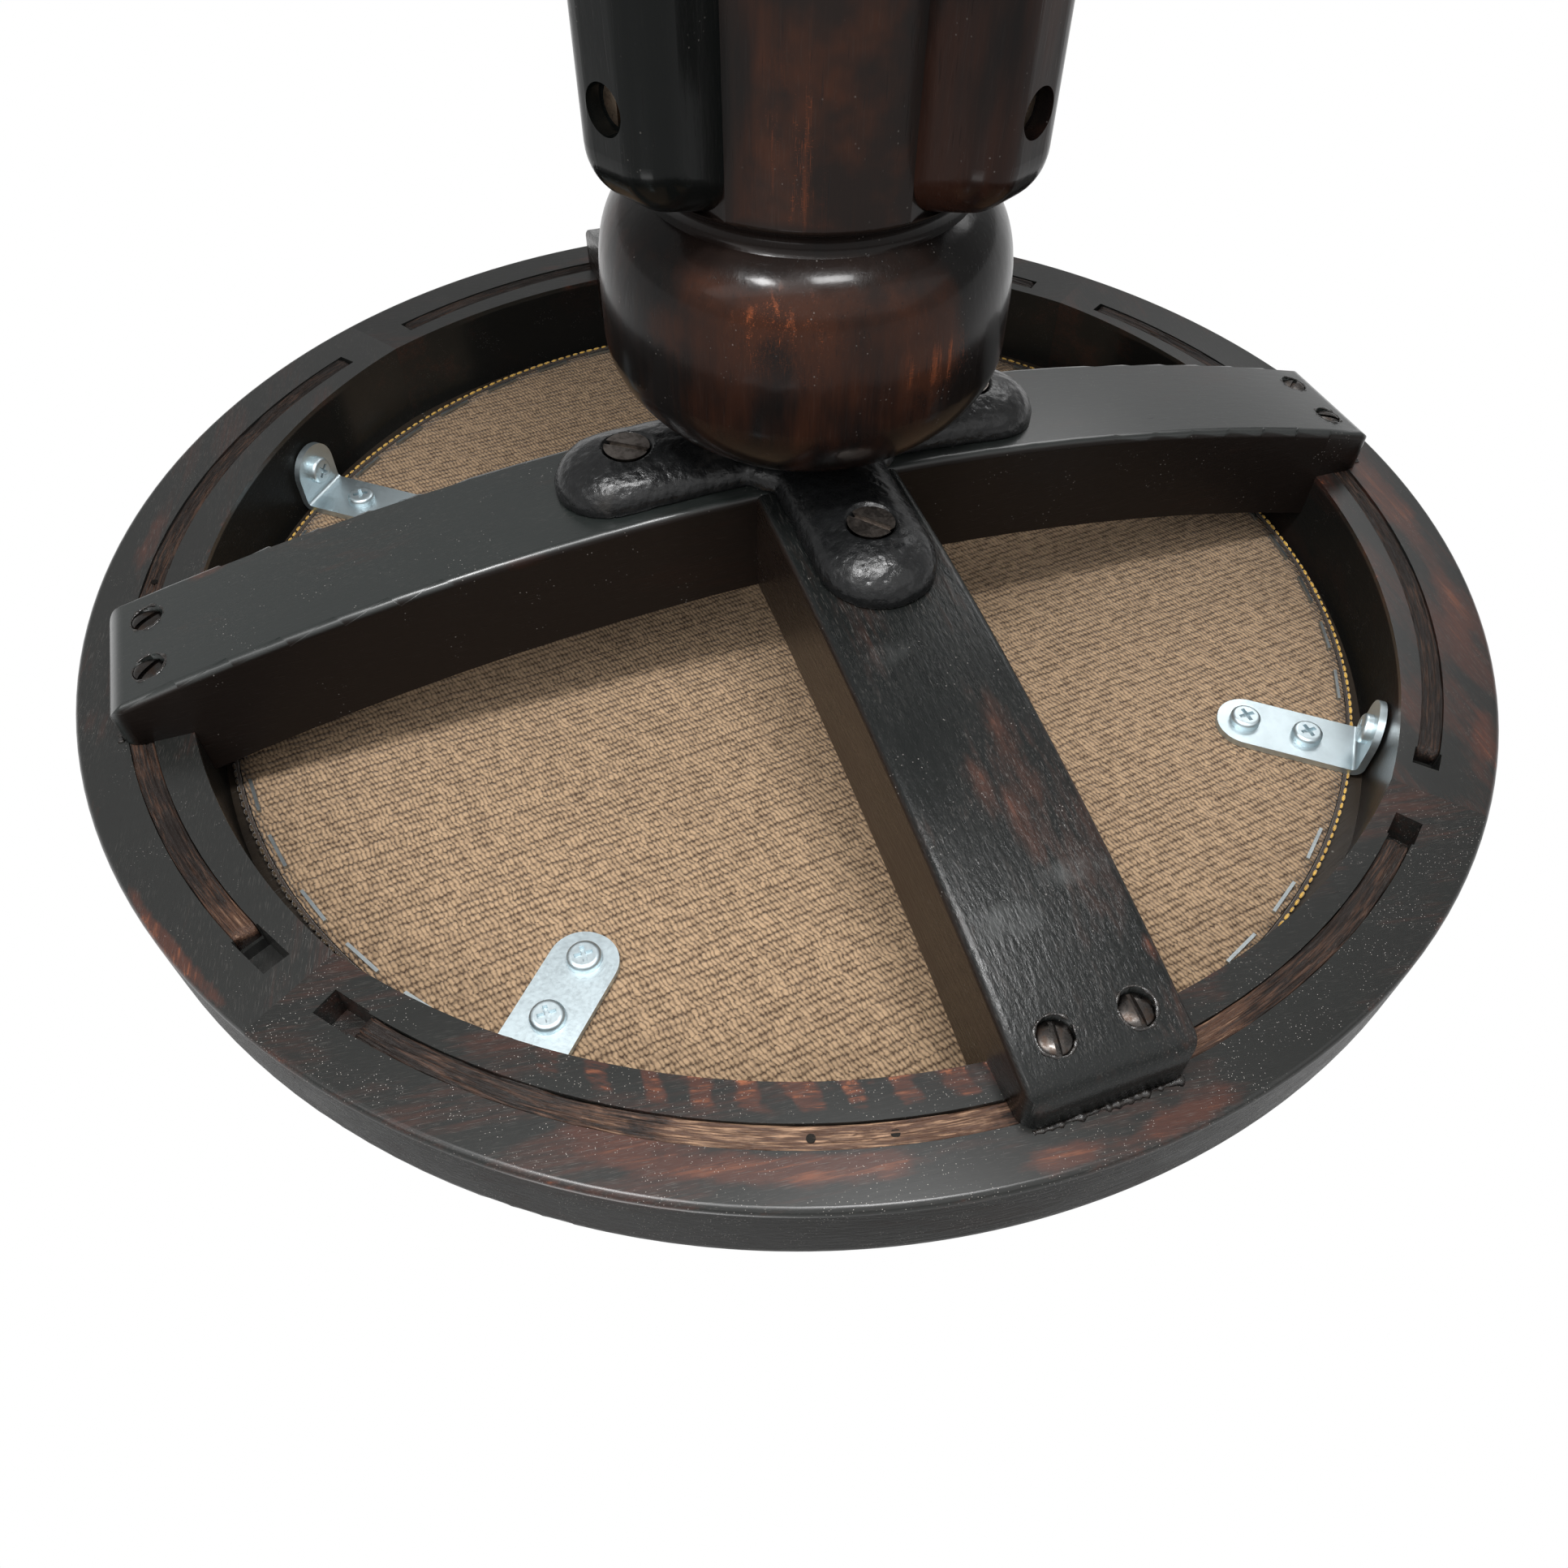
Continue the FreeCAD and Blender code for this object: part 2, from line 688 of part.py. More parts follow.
def make_guide():
    """Guide bush on the spindle's tip, with the washer and screw that hold it."""
    bush = disc(bore_radius - running_clearance, bush_bottom + rest_gap, bush_top - rest_gap)
    bush = bush.cut(disc(spindle_tip_radius + running_clearance, bush_bottom, bush_top))
    washer = disc(end_washer_radius, end_washer_bottom, spindle_tip_end)
    washer = washer.cut(disc(end_screw_shank_radius, end_washer_bottom, spindle_tip_end))
    head = disc(end_screw_head_radius, end_screw_bottom, end_washer_bottom)
    shank = disc(end_screw_shank_radius, end_washer_bottom, spindle_tip_end + end_screw_length)
    slot = Part.makeBox(end_screw_head_radius * 4, slot_width, slot_depth * 2,
                        V(-end_screw_head_radius * 2, -slot_width / 2, end_screw_bottom - slot_depth))
    screw = joined([head, shank]).cut(slot)
    return bush, washer, screw


# Column and its nut


def ball_rise(radius, height, power):
    """Distance along the axis from the ball's widest level to a radius, on a side with a given fullness."""
    return height * (1 - (radius / ball_radius) ** power) ** (1 / power)


def ball_side(height, power, rise, steps):
    """Radii of the ball and their distances from its widest level, evenly spaced out to a rise."""
    rises = [rise * step / steps for step in range(steps + 1)]
    return [(ball_radius * (1 - (along / height) ** power) ** (1 / power), along) for along in rises]


def column_profile():
    """Outline of the turned column, from its axis at the top down to its foot."""
    widest = column_top_height - ball_widest_drop
    neck_rise = ball_rise(neck_radius, ball_leg_side_height, ball_leg_side_power)
    seat_side = ball_side(ball_seat_side_height, ball_seat_side_power, ball_widest_drop, ball_outline_steps)
    leg_side = ball_side(ball_leg_side_height, ball_leg_side_power, neck_rise, ball_outline_steps)
    outline = [side_point(r, widest + along) for r, along in reversed(seat_side)]
    outline += [side_point(r, widest - along) for r, along in leg_side[1:]]
    ball_curve = Part.BSplineCurve()
    ball_curve.interpolate(outline)
    ball = ball_curve.toShape()
    flat = seat_side[-1][0]
    neck_top = outline[-1].z
    neck_bottom = neck_top - neck_height
    shaft_centre = (shaft_radius - shaft_round_radius, neck_bottom - shaft_round_radius)
    shaft_bottom_height = leg_curves()[2]["fork"].z - shaft_below_legs
    cove_bottom = shaft_bottom_height - drop_cove_height
    drop_bottom = cove_bottom - drop_height
    cove_inset = (shaft_radius - drop_waist_radius) / 3
    return [
        line(side_point(0, column_top_height), side_point(flat, column_top_height)),
        ball,
        arc(outline[-1], side_point(neck_radius - neck_cove_depth, neck_top - neck_height / 2),
            side_point(neck_radius, neck_bottom)),
        line(side_point(neck_radius, neck_bottom), side_point(shaft_centre[0], neck_bottom)),
        arc(*circle_arc_points(shaft_centre, shaft_round_radius, math.pi / 2, 0)),
        line(side_point(shaft_radius, shaft_centre[1]), side_point(shaft_radius, shaft_bottom_height)),
        arc(side_point(shaft_radius, shaft_bottom_height),
            side_point(drop_waist_radius + cove_inset, cove_bottom + drop_cove_height * drop_cove_share),
            side_point(drop_waist_radius, cove_bottom)),
        arc(side_point(drop_waist_radius, cove_bottom),
            side_point(drop_belly_radius, cove_bottom - drop_height / 3),
            side_point(drop_tip_radius, drop_bottom)),
        line(side_point(drop_tip_radius, drop_bottom), side_point(0, drop_bottom)),
        line(side_point(0, drop_bottom), side_point(0, column_top_height)),
    ]


def make_nut_screws():
    """Small screws that hold the nut's flange, and their holes."""
    body, screw = countersunk_screw(nut_screw_head_radius, nut_screw_head_height, nut_screw_shank_radius,
                                    nut_screw_length, slot_width / 2, slot_depth / 2)
    screws = []
    holes = []
    for index in range(nut_screw_count):
        place = polar(nut_screw_circle_radius, 360 / nut_screw_count * index, column_top_height)
        screws.append(stood(screw, place, -AXIS_Z))
        holes.append(stood(body, place, -AXIS_Z))
    return screws, Part.makeCompound(holes)


def make_nut(screw_holes):
    flange = disc(nut_flange_radius, column_top_height - nut_flange_thickness, column_top_height)
    barrel_bottom = column_top_height - nut_barrel_length
    barrel = disc(nut_barrel_radius, barrel_bottom, column_top_height)
    bore = disc(spindle_radius + running_clearance, barrel_bottom, column_top_height)
    solid_nut = joined([flange, barrel])
    return solid_nut, solid_nut.cut(bore).cut(screw_holes)


# Legs and what holds them


def leg_curves():
    """Curves of a leg's outer and inner edges in the XZ plane, each running on smoothly from the last."""
    sweep, leave_ankle, toe_end = sweep_turn, foot_turn, toe_end_turn
    slope = math.radians(leg_head_slope_degrees)
    centre = (leg_head_reach + leg_sweep_radius, leg_sweep_start_height)
    reach = leg_sweep_radius + leg_ankle_radius
    ankle_centre = (centre[0] - reach * math.cos(sweep), centre[1] - reach * math.sin(sweep))
    head_reach = leg_head_reach - leg_head_round_radius * (1 - math.sin(slope))
    head_drop = (head_reach - leg_flat) * math.tan(slope) + leg_head_round_radius * math.cos(slope)
    head_centre = (leg_head_reach - leg_head_round_radius, leg_top_height - head_drop)
    head = circle_arc_points(head_centre, leg_head_round_radius, math.pi / 2 - slope, 0)
    outer_sweep = circle_arc_points(centre, leg_sweep_radius, math.pi, math.pi + sweep)
    ankle = circle_arc_points(ankle_centre, leg_ankle_radius, sweep, leave_ankle)
    toe_shift = leg_ankle_radius + leg_toe_curve_radius
    toe_centre = (ankle_centre[0] + toe_shift * math.cos(leave_ankle),
                  ankle_centre[1] + toe_shift * math.sin(leave_ankle))
    toe = circle_arc_points(toe_centre, leg_toe_curve_radius, math.pi + leave_ankle, math.pi + toe_end)
    nose_centre = (toe[2].x - leg_toe_round_radius * math.cos(toe_end),
                   toe[2].z - leg_toe_round_radius * math.sin(toe_end))
    nose = circle_arc_points(nose_centre, leg_toe_round_radius, toe_end, 0)
    inner_radius = leg_sweep_radius + leg_depth
    leave_column = math.acos((centre[0] - leg_flat) / inner_radius)
    inner_ankle = circle_arc_points(ankle_centre, leg_ankle_radius - leg_depth, leave_ankle, sweep)
    inner_sweep = circle_arc_points(centre, inner_radius, math.pi + sweep, math.pi + leave_column)
    top = side_point(leg_flat, head[0].z + (head[0].x - leg_flat) * math.tan(slope))
    heel = side_point(inner_ankle[0].x + (inner_ankle[0].z - glide_height) * math.tan(leave_ankle),
                      glide_height)
    sole_end = side_point(nose[2].x, glide_height)
    outer = [line(top, head[0]), arc(*head), line(head[2], outer_sweep[0]), arc(*outer_sweep), arc(*ankle),
             arc(*toe), arc(*nose), line(nose[2], sole_end)]
    inner = [line(heel, inner_ankle[0]), arc(*inner_ankle), arc(*inner_sweep)]
    ends = {"top": top, "sole": sole_end, "heel": heel, "fork": inner_sweep[2]}
    return outer, inner, ends


def edges_along(body, curves):
    """Edges of a leg's blank that run along the two sides of the given curves."""
    found = []
    for side in (-1, 1):
        for curve in curves:
            middle = curve.valueAt((curve.FirstParameter + curve.LastParameter) / 2)
            vertex = Part.Vertex(middle + V(0, side * leg_width / 2, 0))
            distances = [edge.distToShape(vertex)[0] for edge in body.Edges]
            found.append(body.Edges[distances.index(min(distances))])
    return found


def leg_blank():
    """Leg along X with its outer and inner edges rounded."""
    outer, inner, ends = leg_curves()
    sole = line(ends["sole"], ends["heel"])
    back = line(ends["fork"], ends["top"])
    face = Part.Face(Part.Wire(outer + [sole] + inner + [back]))
    body = moved(face, V(0, -leg_width / 2, 0)).extrude(V(0, leg_width, 0))
    body = body.makeFillet(leg_outer_round_radius, edges_along(body, outer))
    return body.makeFillet(leg_inner_round_radius, edges_along(body, inner))


def dowel(height):
    place = V(leg_flat - dowel_length / 2, 0, height)
    return Part.makeCylinder(dowel_radius, dowel_length, place, AXIS_X)


def leg_screw_set():
    """Screws of one leg along X, with the holes that they need."""
    length = counterbore_floor - leg_screw_tip_radius
    body, screw = countersunk_screw(leg_screw_head_radius, leg_screw_head_height, leg_screw_shank_radius,
                                    length, slot_width, slot_depth)
    screws = []
    holes = []
    for index, height in enumerate(leg_screw_heights):
        place = V(counterbore_floor, 0, height)
        screws.append(stood(turned(screw, 40 + 65 * index), place, -AXIS_X))
        mouth = Part.makeCylinder(counterbore_radius, leg_head_reach + cut_overrun - counterbore_floor,
                                  place, AXIS_X)
        holes.append(stood(body, place, -AXIS_X).fuse(mouth))
    return screws, Part.makeCompound(holes)


def glide_place():
    """Distance of the glides from the column's axis."""
    ends = leg_curves()[2]
    return (ends["sole"].x + ends["heel"].x) / 2


def glide():
    """Domed glide with its pin, below a leg along X."""
    dome_middle = (glide_radius + glide_flat_radius) / 2 + glide_height / 4
    edges = [
        line(side_point(0, 0), side_point(glide_flat_radius, 0)),
        arc(side_point(glide_flat_radius, 0), side_point(dome_middle, glide_height / 3),
            side_point(glide_radius, glide_height)),
        line(side_point(glide_radius, glide_height), side_point(glide_pin_radius, glide_height)),
        line(side_point(glide_pin_radius, glide_height),
             side_point(glide_pin_radius, glide_height + glide_pin_length)),
        line(side_point(glide_pin_radius, glide_height + glide_pin_length),
             side_point(0, glide_height + glide_pin_length)),
        line(side_point(0, glide_height + glide_pin_length), side_point(0, 0)),
    ]
    return moved(revolved(edges), V(glide_place(), 0, 0))


# Brackets under the seat board


def bracket_wall_radius(degrees):
    """Radius of the bracket's outer face, so that both its edges just clear the ring's wall."""
    half = bracket_width / 2
    turn = math.degrees(math.asin(half / opening_mid_radius))
    nearest = min(opening_radius(degrees - turn), opening_radius(degrees + turn))
    return math.sqrt(nearest ** 2 - half ** 2) - bracket_wall_gap


def bracket(degrees):
    """Angle bracket with rounded ends: a foot under the cloth and a leg down the ring's wall."""
    wall = bracket_wall_radius(degrees)
    top = ring_top - cloth_thickness
    inside = bracket_bend_round_radius - bracket_thickness
    tip = wall - bracket_foot_length
    low = top - bracket_wall_length
    bend = (wall - bracket_bend_round_radius, top - bracket_bend_round_radius)
    outer_bend = circle_arc_points(bend, bracket_bend_round_radius, math.pi / 2, 0)
    inner_bend = circle_arc_points(bend, inside, 0, math.pi / 2)
    inner_wall = wall - bracket_thickness
    edges = [
        line(side_point(tip, top), outer_bend[0]),
        arc(*outer_bend),
        line(outer_bend[2], side_point(wall, low)),
        line(side_point(wall, low), side_point(inner_wall, low)),
        line(side_point(inner_wall, low), inner_bend[0]),
        arc(*inner_bend),
        line(inner_bend[2], side_point(tip, top - bracket_thickness)),
        line(side_point(tip, top - bracket_thickness), side_point(tip, top)),
    ]
    face = moved(Part.Face(Part.Wire(edges)), V(0, -bracket_width / 2, 0))
    body = face.extrude(V(0, bracket_width, 0))
    corners = []
    for edge in body.Edges:
        box = edge.BoundBox
        short = box.DiagonalLength < bracket_thickness + rest_gap and box.YLength < rest_gap
        if short and (box.XMax < tip + rest_gap or box.ZMax < low + rest_gap):
            corners.append(edge)
    body = body.makeFillet(bracket_width * bracket_end_round_share, corners)
    return turned(body, degrees)


def bracket_screw_places(degrees):
    """Seats and directions of a bracket's screws: two in its foot and one in its wall leg."""
    wall = bracket_wall_radius(degrees)
    foot_face = ring_top - cloth_thickness - bracket_thickness
    places = [(polar(wall - distance, degrees, foot_face), AXIS_Z) for distance in foot_screw_distances]
    wall_height = ring_top - cloth_thickness - wall_screw_drop
    outward = polar(1, degrees, 0)
    places.append((polar(wall - bracket_thickness, degrees, wall_height), outward))
    return places


def make_bracket_screws():
    shank, screw = pan_screw()
    screws = []
    holes = []
    for degrees in bracket_angles:
        for place, direction in bracket_screw_places(degrees):
            screws.append(stood(screw, place, direction))
            holes.append(stood(shank, place, direction))
    return screws, Part.makeCompound(holes)


# Upholstery


def make_staples():
    """Flat-wire staples round the cloth's edge, left out under the brackets."""
    crown = Part.makeBox(staple_wire, staple_crown, staple_wire,
                         V(-staple_wire / 2, -staple_crown / 2, -staple_wire))
    side = Part.makeBox(staple_wire, staple_wire, staple_leg, V(-staple_wire / 2, -staple_crown / 2, 0))
    body = joined([crown, side, moved(side, V(0, staple_crown - staple_wire, 0))])
    body.translate(V(staple_circle_radius, 0, ring_top - cloth_thickness))
    clear = math.degrees(staple_bracket_clearance / staple_circle_radius)
    clear += math.degrees(staple_crown / 2 / staple_circle_radius)
    staples = []
    for index in range(staple_count):
        degrees = 360 / staple_count * index
        apart = [abs((degrees - angle + 180) % 360 - 180) for angle in bracket_angles]
        if min(apart) > clear:
            staples.append(turned(body, degrees))
    return staples


def make_edging():
    """Stitched edging round the cloth's rim."""
    bottom = ring_top - edging_thickness
    inner = cloth_radius
    middle = inner + edging_width / 2
    edges = [
        line(side_point(inner, bottom + edging_thickness / 4), side_point(inner, ring_top)),
        line(side_point(inner, ring_top), side_point(inner + edging_width, ring_top)),
        line(side_point(inner + edging_width, ring_top),
             side_point(inner + edging_width, bottom + edging_thickness / 4)),
        arc(side_point(inner + edging_width, bottom + edging_thickness / 4), side_point(middle, bottom),
            side_point(inner, bottom + edging_thickness / 4)),
    ]
    return revolved(edges)


def stuffing_profile(offset):
    """Dome of the stuffing, or of its cover at an offset, closed along the axis and its base."""
    side_radius = board_radius + offset
    side_top = board_top + stuffing_side_height
    shoulder = stuffing_shoulder_radius + offset * math.sqrt(0.5)
    shoulder_height = side_top + offset * math.sqrt(0.5)
    crown = board_top + stuffing_crown_height + offset
    rise = crown - shoulder_height
    sphere = (shoulder ** 2 + rise ** 2) / (2 * rise)
    half_turn = math.asin(shoulder / sphere) / 2
    dome_middle = side_point(sphere * math.sin(half_turn), crown - sphere * (1 - math.cos(half_turn)))
    bulge_height = board_top + stuffing_side_height / 2
    return [
        line(side_point(0, board_top), side_point(side_radius, board_top)),
        arc(side_point(side_radius, board_top), side_point(side_radius + stuffing_bulge, bulge_height),
            side_point(shoulder, shoulder_height)),
        arc(side_point(shoulder, shoulder_height), dome_middle, side_point(0, crown)),
        line(side_point(0, crown), side_point(0, board_top)),
    ]


def make_upholstery(screw_holes, staples):
    """Seat board, underside cloth, stuffing, cover and gimp."""
    staple_group = Part.makeCompound(staples)
    board = disc(board_radius, ring_top, board_top).cut(screw_holes).cut(staple_group)
    cloth = disc(cloth_radius, ring_top - cloth_thickness, ring_top).cut(screw_holes).cut(staple_group)
    stuffing = revolved(stuffing_profile(0))
    outer = revolved(stuffing_profile(cover_thickness))
    skirt = disc(board_radius + cover_thickness, ring_top + soft_gap, board_top)
    hollow = joined([stuffing, disc(board_radius, ring_top - cut_overrun, board_top)])
    cover = joined([outer, skirt]).cut(hollow)
    gimp_inner = board_radius + cover_thickness
    gimp_bottom = ring_top + soft_gap
    gimp = disc(gimp_inner + gimp_thickness, gimp_bottom, gimp_bottom + gimp_height)
    gimp = gimp.cut(disc(gimp_inner, gimp_bottom, gimp_bottom + gimp_height))
    return board, cloth, stuffing, cover, gimp


def build_seat():
    """Everything that turns and rises with the seat."""
    arm_screws, arm_screw_holes = make_arm_screws()
    spider_screws, spider_screw_holes = make_spider_screws()
    bracket_screws, bracket_screw_holes = make_bracket_screws()
    blanks, pieces, tongues, strips, nails = make_ring()
    for name, piece in zip(ring_piece_names, pieces):
        export(name, piece.cut(arm_screw_holes).cut(bracket_screw_holes))
    export("ring_joint_tongues", *tongues)
    export("groove_strips", *strips)
    export("strip_nails", *nails)
    arm_side, arm_front = make_arms(blanks, (arm_screw_holes, spider_screw_holes))
    export("cross_arm_side_to_side", arm_side)
    export("cross_arm_front_to_back", arm_front)
    export("arm_end_screws", *arm_screws)
    spindle = make_spindle()
    export("iron_spider", make_spider((arm_side, arm_front), spindle, spider_screw_holes))
    export("spider_screws", *spider_screws)
    export("screw_spindle", spindle)
    washer, nut = make_spindle_fixings()
    export("spindle_washer", washer)
    export("spindle_nut", nut)
    bush, end_washer, end_screw = make_guide()
    export("spindle_guide_bush", bush)
    export("spindle_end_washer", end_washer)
    export("spindle_end_screw", end_screw)
    brackets = [bracket(angle).cut(bracket_screw_holes) for angle in bracket_angles]
    export("seat_brackets", *brackets)
    export("bracket_screws", *bracket_screws)
    staples = make_staples()
    board, cloth, stuffing, cover, gimp = make_upholstery(bracket_screw_holes, staples)
    export("seat_board", board)
    export("underside_cloth", cloth)
    export("cloth_edging", make_edging().cut(Part.makeCompound(brackets)))
    export("cloth_staples", *staples)
    export("seat_stuffing", stuffing)
    export("seat_cover", cover)
    export("seat_gimp", gimp)


def build_base():
    """Everything that stays on the floor."""
    nut_screws, nut_screw_holes = make_nut_screws()
    solid_nut, nut = make_nut(nut_screw_holes)
    blank = leg_blank()
    screws, screw_holes = leg_screw_set()
    dowels = [dowel(height) for height in dowel_heights]
    dowel_group = Part.makeCompound(dowels)
    ends = leg_curves()[2]
    flat_height = ends["top"].z - ends["fork"].z
    flat = Part.makeBox(shaft_radius, leg_width, flat_height, V(leg_flat, -leg_width / 2, ends["fork"].z))
    angles = [base_turn_angle + 360 / leg_count * index for index in range(leg_count)]
    column = revolved(column_profile())
    column = column.cut(disc(bore_radius, bore_bottom, column_top_height)).cut(solid_nut).cut(nut_screw_holes)
    for angle in angles:
        column = column.cut(turned(flat, angle)).cut(turned(blank, angle))
        column = column.cut(turned(dowel_group, angle)).cut(turned(screw_holes, angle))
    export("turned_column", column)
    export("spindle_nut_plate", nut)
    export("nut_plate_screws", *nut_screws)
    foot_glide = glide()
    leg = blank.cut(dowel_group).cut(screw_holes).cut(foot_glide)
    for name, angle in zip(leg_names, angles):
        export(name, turned(leg, angle))
    export("leg_dowels", *[turned(piece, angle) for angle in angles for piece in dowels])
    export("leg_screws", *[turned(screw, angle) for angle in angles for screw in screws])
    export("foot_glides", *[turned(foot_glide, angle) for angle in angles])


os.makedirs("parts", exist_ok=True)
build_seat()
build_base()
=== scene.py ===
# %% [markdown]
# A revolving piano stool, seen from below
#
# The photograph was taken with the stool turned over on its seat, so the camera here looks up at the
# underside of an upright stool and is rolled half a turn. The solids come in as a fixed frame; this file
# gives them their finishes and replaces the soft, stitched and threaded pieces with detailed ones.

# %% Frame
import json
import math

import bmesh
import bpy
import numpy as np
from mathutils import Matrix, Quaternion, Vector, noise

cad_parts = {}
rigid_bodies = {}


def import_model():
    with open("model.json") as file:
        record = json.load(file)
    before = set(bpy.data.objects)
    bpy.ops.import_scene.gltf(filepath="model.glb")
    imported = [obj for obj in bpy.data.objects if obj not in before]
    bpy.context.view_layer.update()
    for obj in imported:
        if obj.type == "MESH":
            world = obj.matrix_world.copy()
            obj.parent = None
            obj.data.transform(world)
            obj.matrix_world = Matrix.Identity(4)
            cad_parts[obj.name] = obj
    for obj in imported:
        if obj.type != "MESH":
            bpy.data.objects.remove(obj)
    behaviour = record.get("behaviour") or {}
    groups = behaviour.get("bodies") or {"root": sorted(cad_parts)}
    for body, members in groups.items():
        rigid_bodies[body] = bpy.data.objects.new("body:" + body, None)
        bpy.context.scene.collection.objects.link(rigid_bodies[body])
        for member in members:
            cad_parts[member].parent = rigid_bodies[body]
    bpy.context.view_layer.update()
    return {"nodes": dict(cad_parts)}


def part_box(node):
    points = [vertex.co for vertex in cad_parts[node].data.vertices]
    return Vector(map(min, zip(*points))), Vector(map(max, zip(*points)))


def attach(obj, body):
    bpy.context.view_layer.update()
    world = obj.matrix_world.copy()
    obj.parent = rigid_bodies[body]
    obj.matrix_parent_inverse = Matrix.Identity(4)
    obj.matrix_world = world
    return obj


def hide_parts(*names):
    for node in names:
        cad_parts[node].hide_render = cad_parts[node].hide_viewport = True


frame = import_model()
NODES = frame["nodes"]
MM = 0.001

# %% [markdown]
# Sizes are read from the frame's boxes where a piece has to sit on another, so that they follow the solids.

# %% Sizes
ring_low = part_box("seat_ring_front")[0]
board_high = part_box("seat_board")[1]
cloth_low, cloth_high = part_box("underside_cloth")
edging_low, edging_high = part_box("cloth_edging")
gimp_low, gimp_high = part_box("seat_gimp")
cover_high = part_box("seat_cover")[1]
spindle_low, spindle_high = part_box("screw_spindle")
CASTING_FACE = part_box("iron_spider")[0].z
ARM_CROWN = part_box("spindle_washer")[0].z
ARM_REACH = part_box("cross_arm_side_to_side")[1].x
RING_RADIUS = -ring_low.y
CLOTH_RADIUS = cloth_high.x
BOARD_RADIUS = board_high.x
print("ring radius", round(RING_RADIUS / MM, 1), "mm; cloth radius", round(CLOTH_RADIUS / MM, 1), "mm")

# %% [markdown]
# A few helpers serve every mesh that is made here. One puts points and faces into an object, and one turns
# the result of live modifiers into a plain mesh, because the finished pieces carry no modifier.

# %% Helpers for meshes


def new_object(name, points, faces, smooth=True):
    mesh = bpy.data.meshes.new(name)
    mesh.from_pydata([tuple(p) for p in points], [], faces)
    mesh.update()
    made = bpy.data.objects.new(name, mesh)
    bpy.context.collection.objects.link(made)
    mesh.polygons.foreach_set("use_smooth", [smooth] * len(mesh.polygons))
    return made


def settle(made):
    """Makes the modifiers' result the object's own mesh and removes them."""
    bpy.context.view_layer.update()
    evaluated = made.evaluated_get(bpy.context.evaluated_depsgraph_get())
    result = bpy.data.meshes.new_from_object(evaluated)
    made.modifiers.clear()
    made.data = result
    return made


def add_modifier(made, kind, **settings):
    modifier = made.modifiers.new(kind.lower(), kind)
    for key, value in settings.items():
        setattr(modifier, key, value)
    return modifier


def grid_faces(rows, columns, wrap_rows=False, wrap_columns=False):
    """Quads over a grid of points that is numbered row by row."""
    faces = []
    for row in range(rows if wrap_rows else rows - 1):
        following = (row + 1) % rows
        for column in range(columns if wrap_columns else columns - 1):
            beside = (column + 1) % columns
            faces.append((row * columns + column, row * columns + beside,
                          following * columns + beside, following * columns + column))
    return faces


def finish_normals(made):
    """Merges doubles, then turns every face outwards."""
    work = bmesh.new()
    work.from_mesh(made.data)
    bmesh.ops.remove_doubles(work, verts=work.verts, dist=0.01 * MM)
    bmesh.ops.recalc_face_normals(work, faces=work.faces)
    work.to_mesh(made.data)
    work.free()
    return made


def points_of(made):
    return np.array([vertex.co[:] for vertex in made.data.vertices])


def move_points(made, points):
    made.data.vertices.foreach_set("co", points.ravel())
    made.data.update()


def on_circle(radius, angle):
    return radius * math.cos(angle), radius * math.sin(angle)


def quarter_turn(quarter):
    return Matrix.Rotation(math.radians(90 * quarter), 3, "Z")


def fit_piece(made, body, slot, material, *replaced):
    """Gives a piece its material and body, and hides the nodes that it stands for; the slot is not used."""
    if material is not None:
        made.data.materials.clear()
        made.data.materials.append(material)
    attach(made, body)
    if replaced:
        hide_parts(*replaced)
    print(made.name, len(made.data.polygons), "faces")
    return made


def paint(material, *names):
    """Puts a material on CAD nodes."""
    for name in names:
        NODES[name].data.materials.clear()
        NODES[name].data.materials.append(material)


# %% [markdown]
# Most finishes are one recipe with other numbers: a pattern chooses between a few colours, and the same
# pattern roughens and dents the surface. Small helpers keep the node trees readable. `node` adds a node,
# and `wire` joins an output to an input. A `Value` is an output that takes part in plain sums: where the
# text says `a + b * 2.0`, two Math nodes are added to the tree.

# %% Helpers for node trees


class Value:
    """An output socket; each sign of arithmetic on it adds a Math node to its tree."""

    def __init__(self, socket):
        self.socket = socket
        self.tree = socket.id_data

    def __add__(self, other):
        return calc("ADD", self, other)

    def __sub__(self, other):
        return calc("SUBTRACT", self, other)

    def __rsub__(self, other):
        return calc("SUBTRACT", other, self)

    def __mul__(self, other):
        return calc("MULTIPLY", self, other)

    def __truediv__(self, other):
        return calc("DIVIDE", self, other)

    def __rtruediv__(self, other):
        return calc("DIVIDE", other, self)

    def __radd__(self, other):
        return calc("ADD", other, self)


def wire(value, socket):
    """Links a value to an input socket; a plain number, colour, vector or material is set on it."""
    if isinstance(value, Value):
        value.tree.links.new(value.socket, socket)
    else:
        socket.default_value = value


def connect(made, **values):
    """Wires values to a node's inputs by name."""
    for key, value in values.items():
        wire(value, made.inputs[key.replace("_", " ")])


def node(tree, kind, **settings):
    """Adds a node; settings that name an input are wired to it, and the others are properties."""
    made = tree.nodes.new(kind)
    for key, value in settings.items():
        if key.startswith("in_"):
            name = key[3:]
            wire(value, made.inputs[int(name)] if name.isdigit() else made.inputs[name.replace("_", " ")])
        else:
            setattr(made, key, value)
    return made


def out(made, name=0):
    return Value(made.outputs[name])


def outputs_of(made):
    return {socket.name: Value(socket) for socket in made.outputs}


def tree_of(*values):
    return next(value.tree for value in values if isinstance(value, Value))


def calc(operation, first, second=0.5, clamp=False):
    """A Math node on two values."""
    return out(node(tree_of(first, second), "ShaderNodeMath", operation=operation, use_clamp=clamp,
                    in_0=first, in_1=second))


def length_of(x, y):
    return calc("SQRT", x * x + y * y)


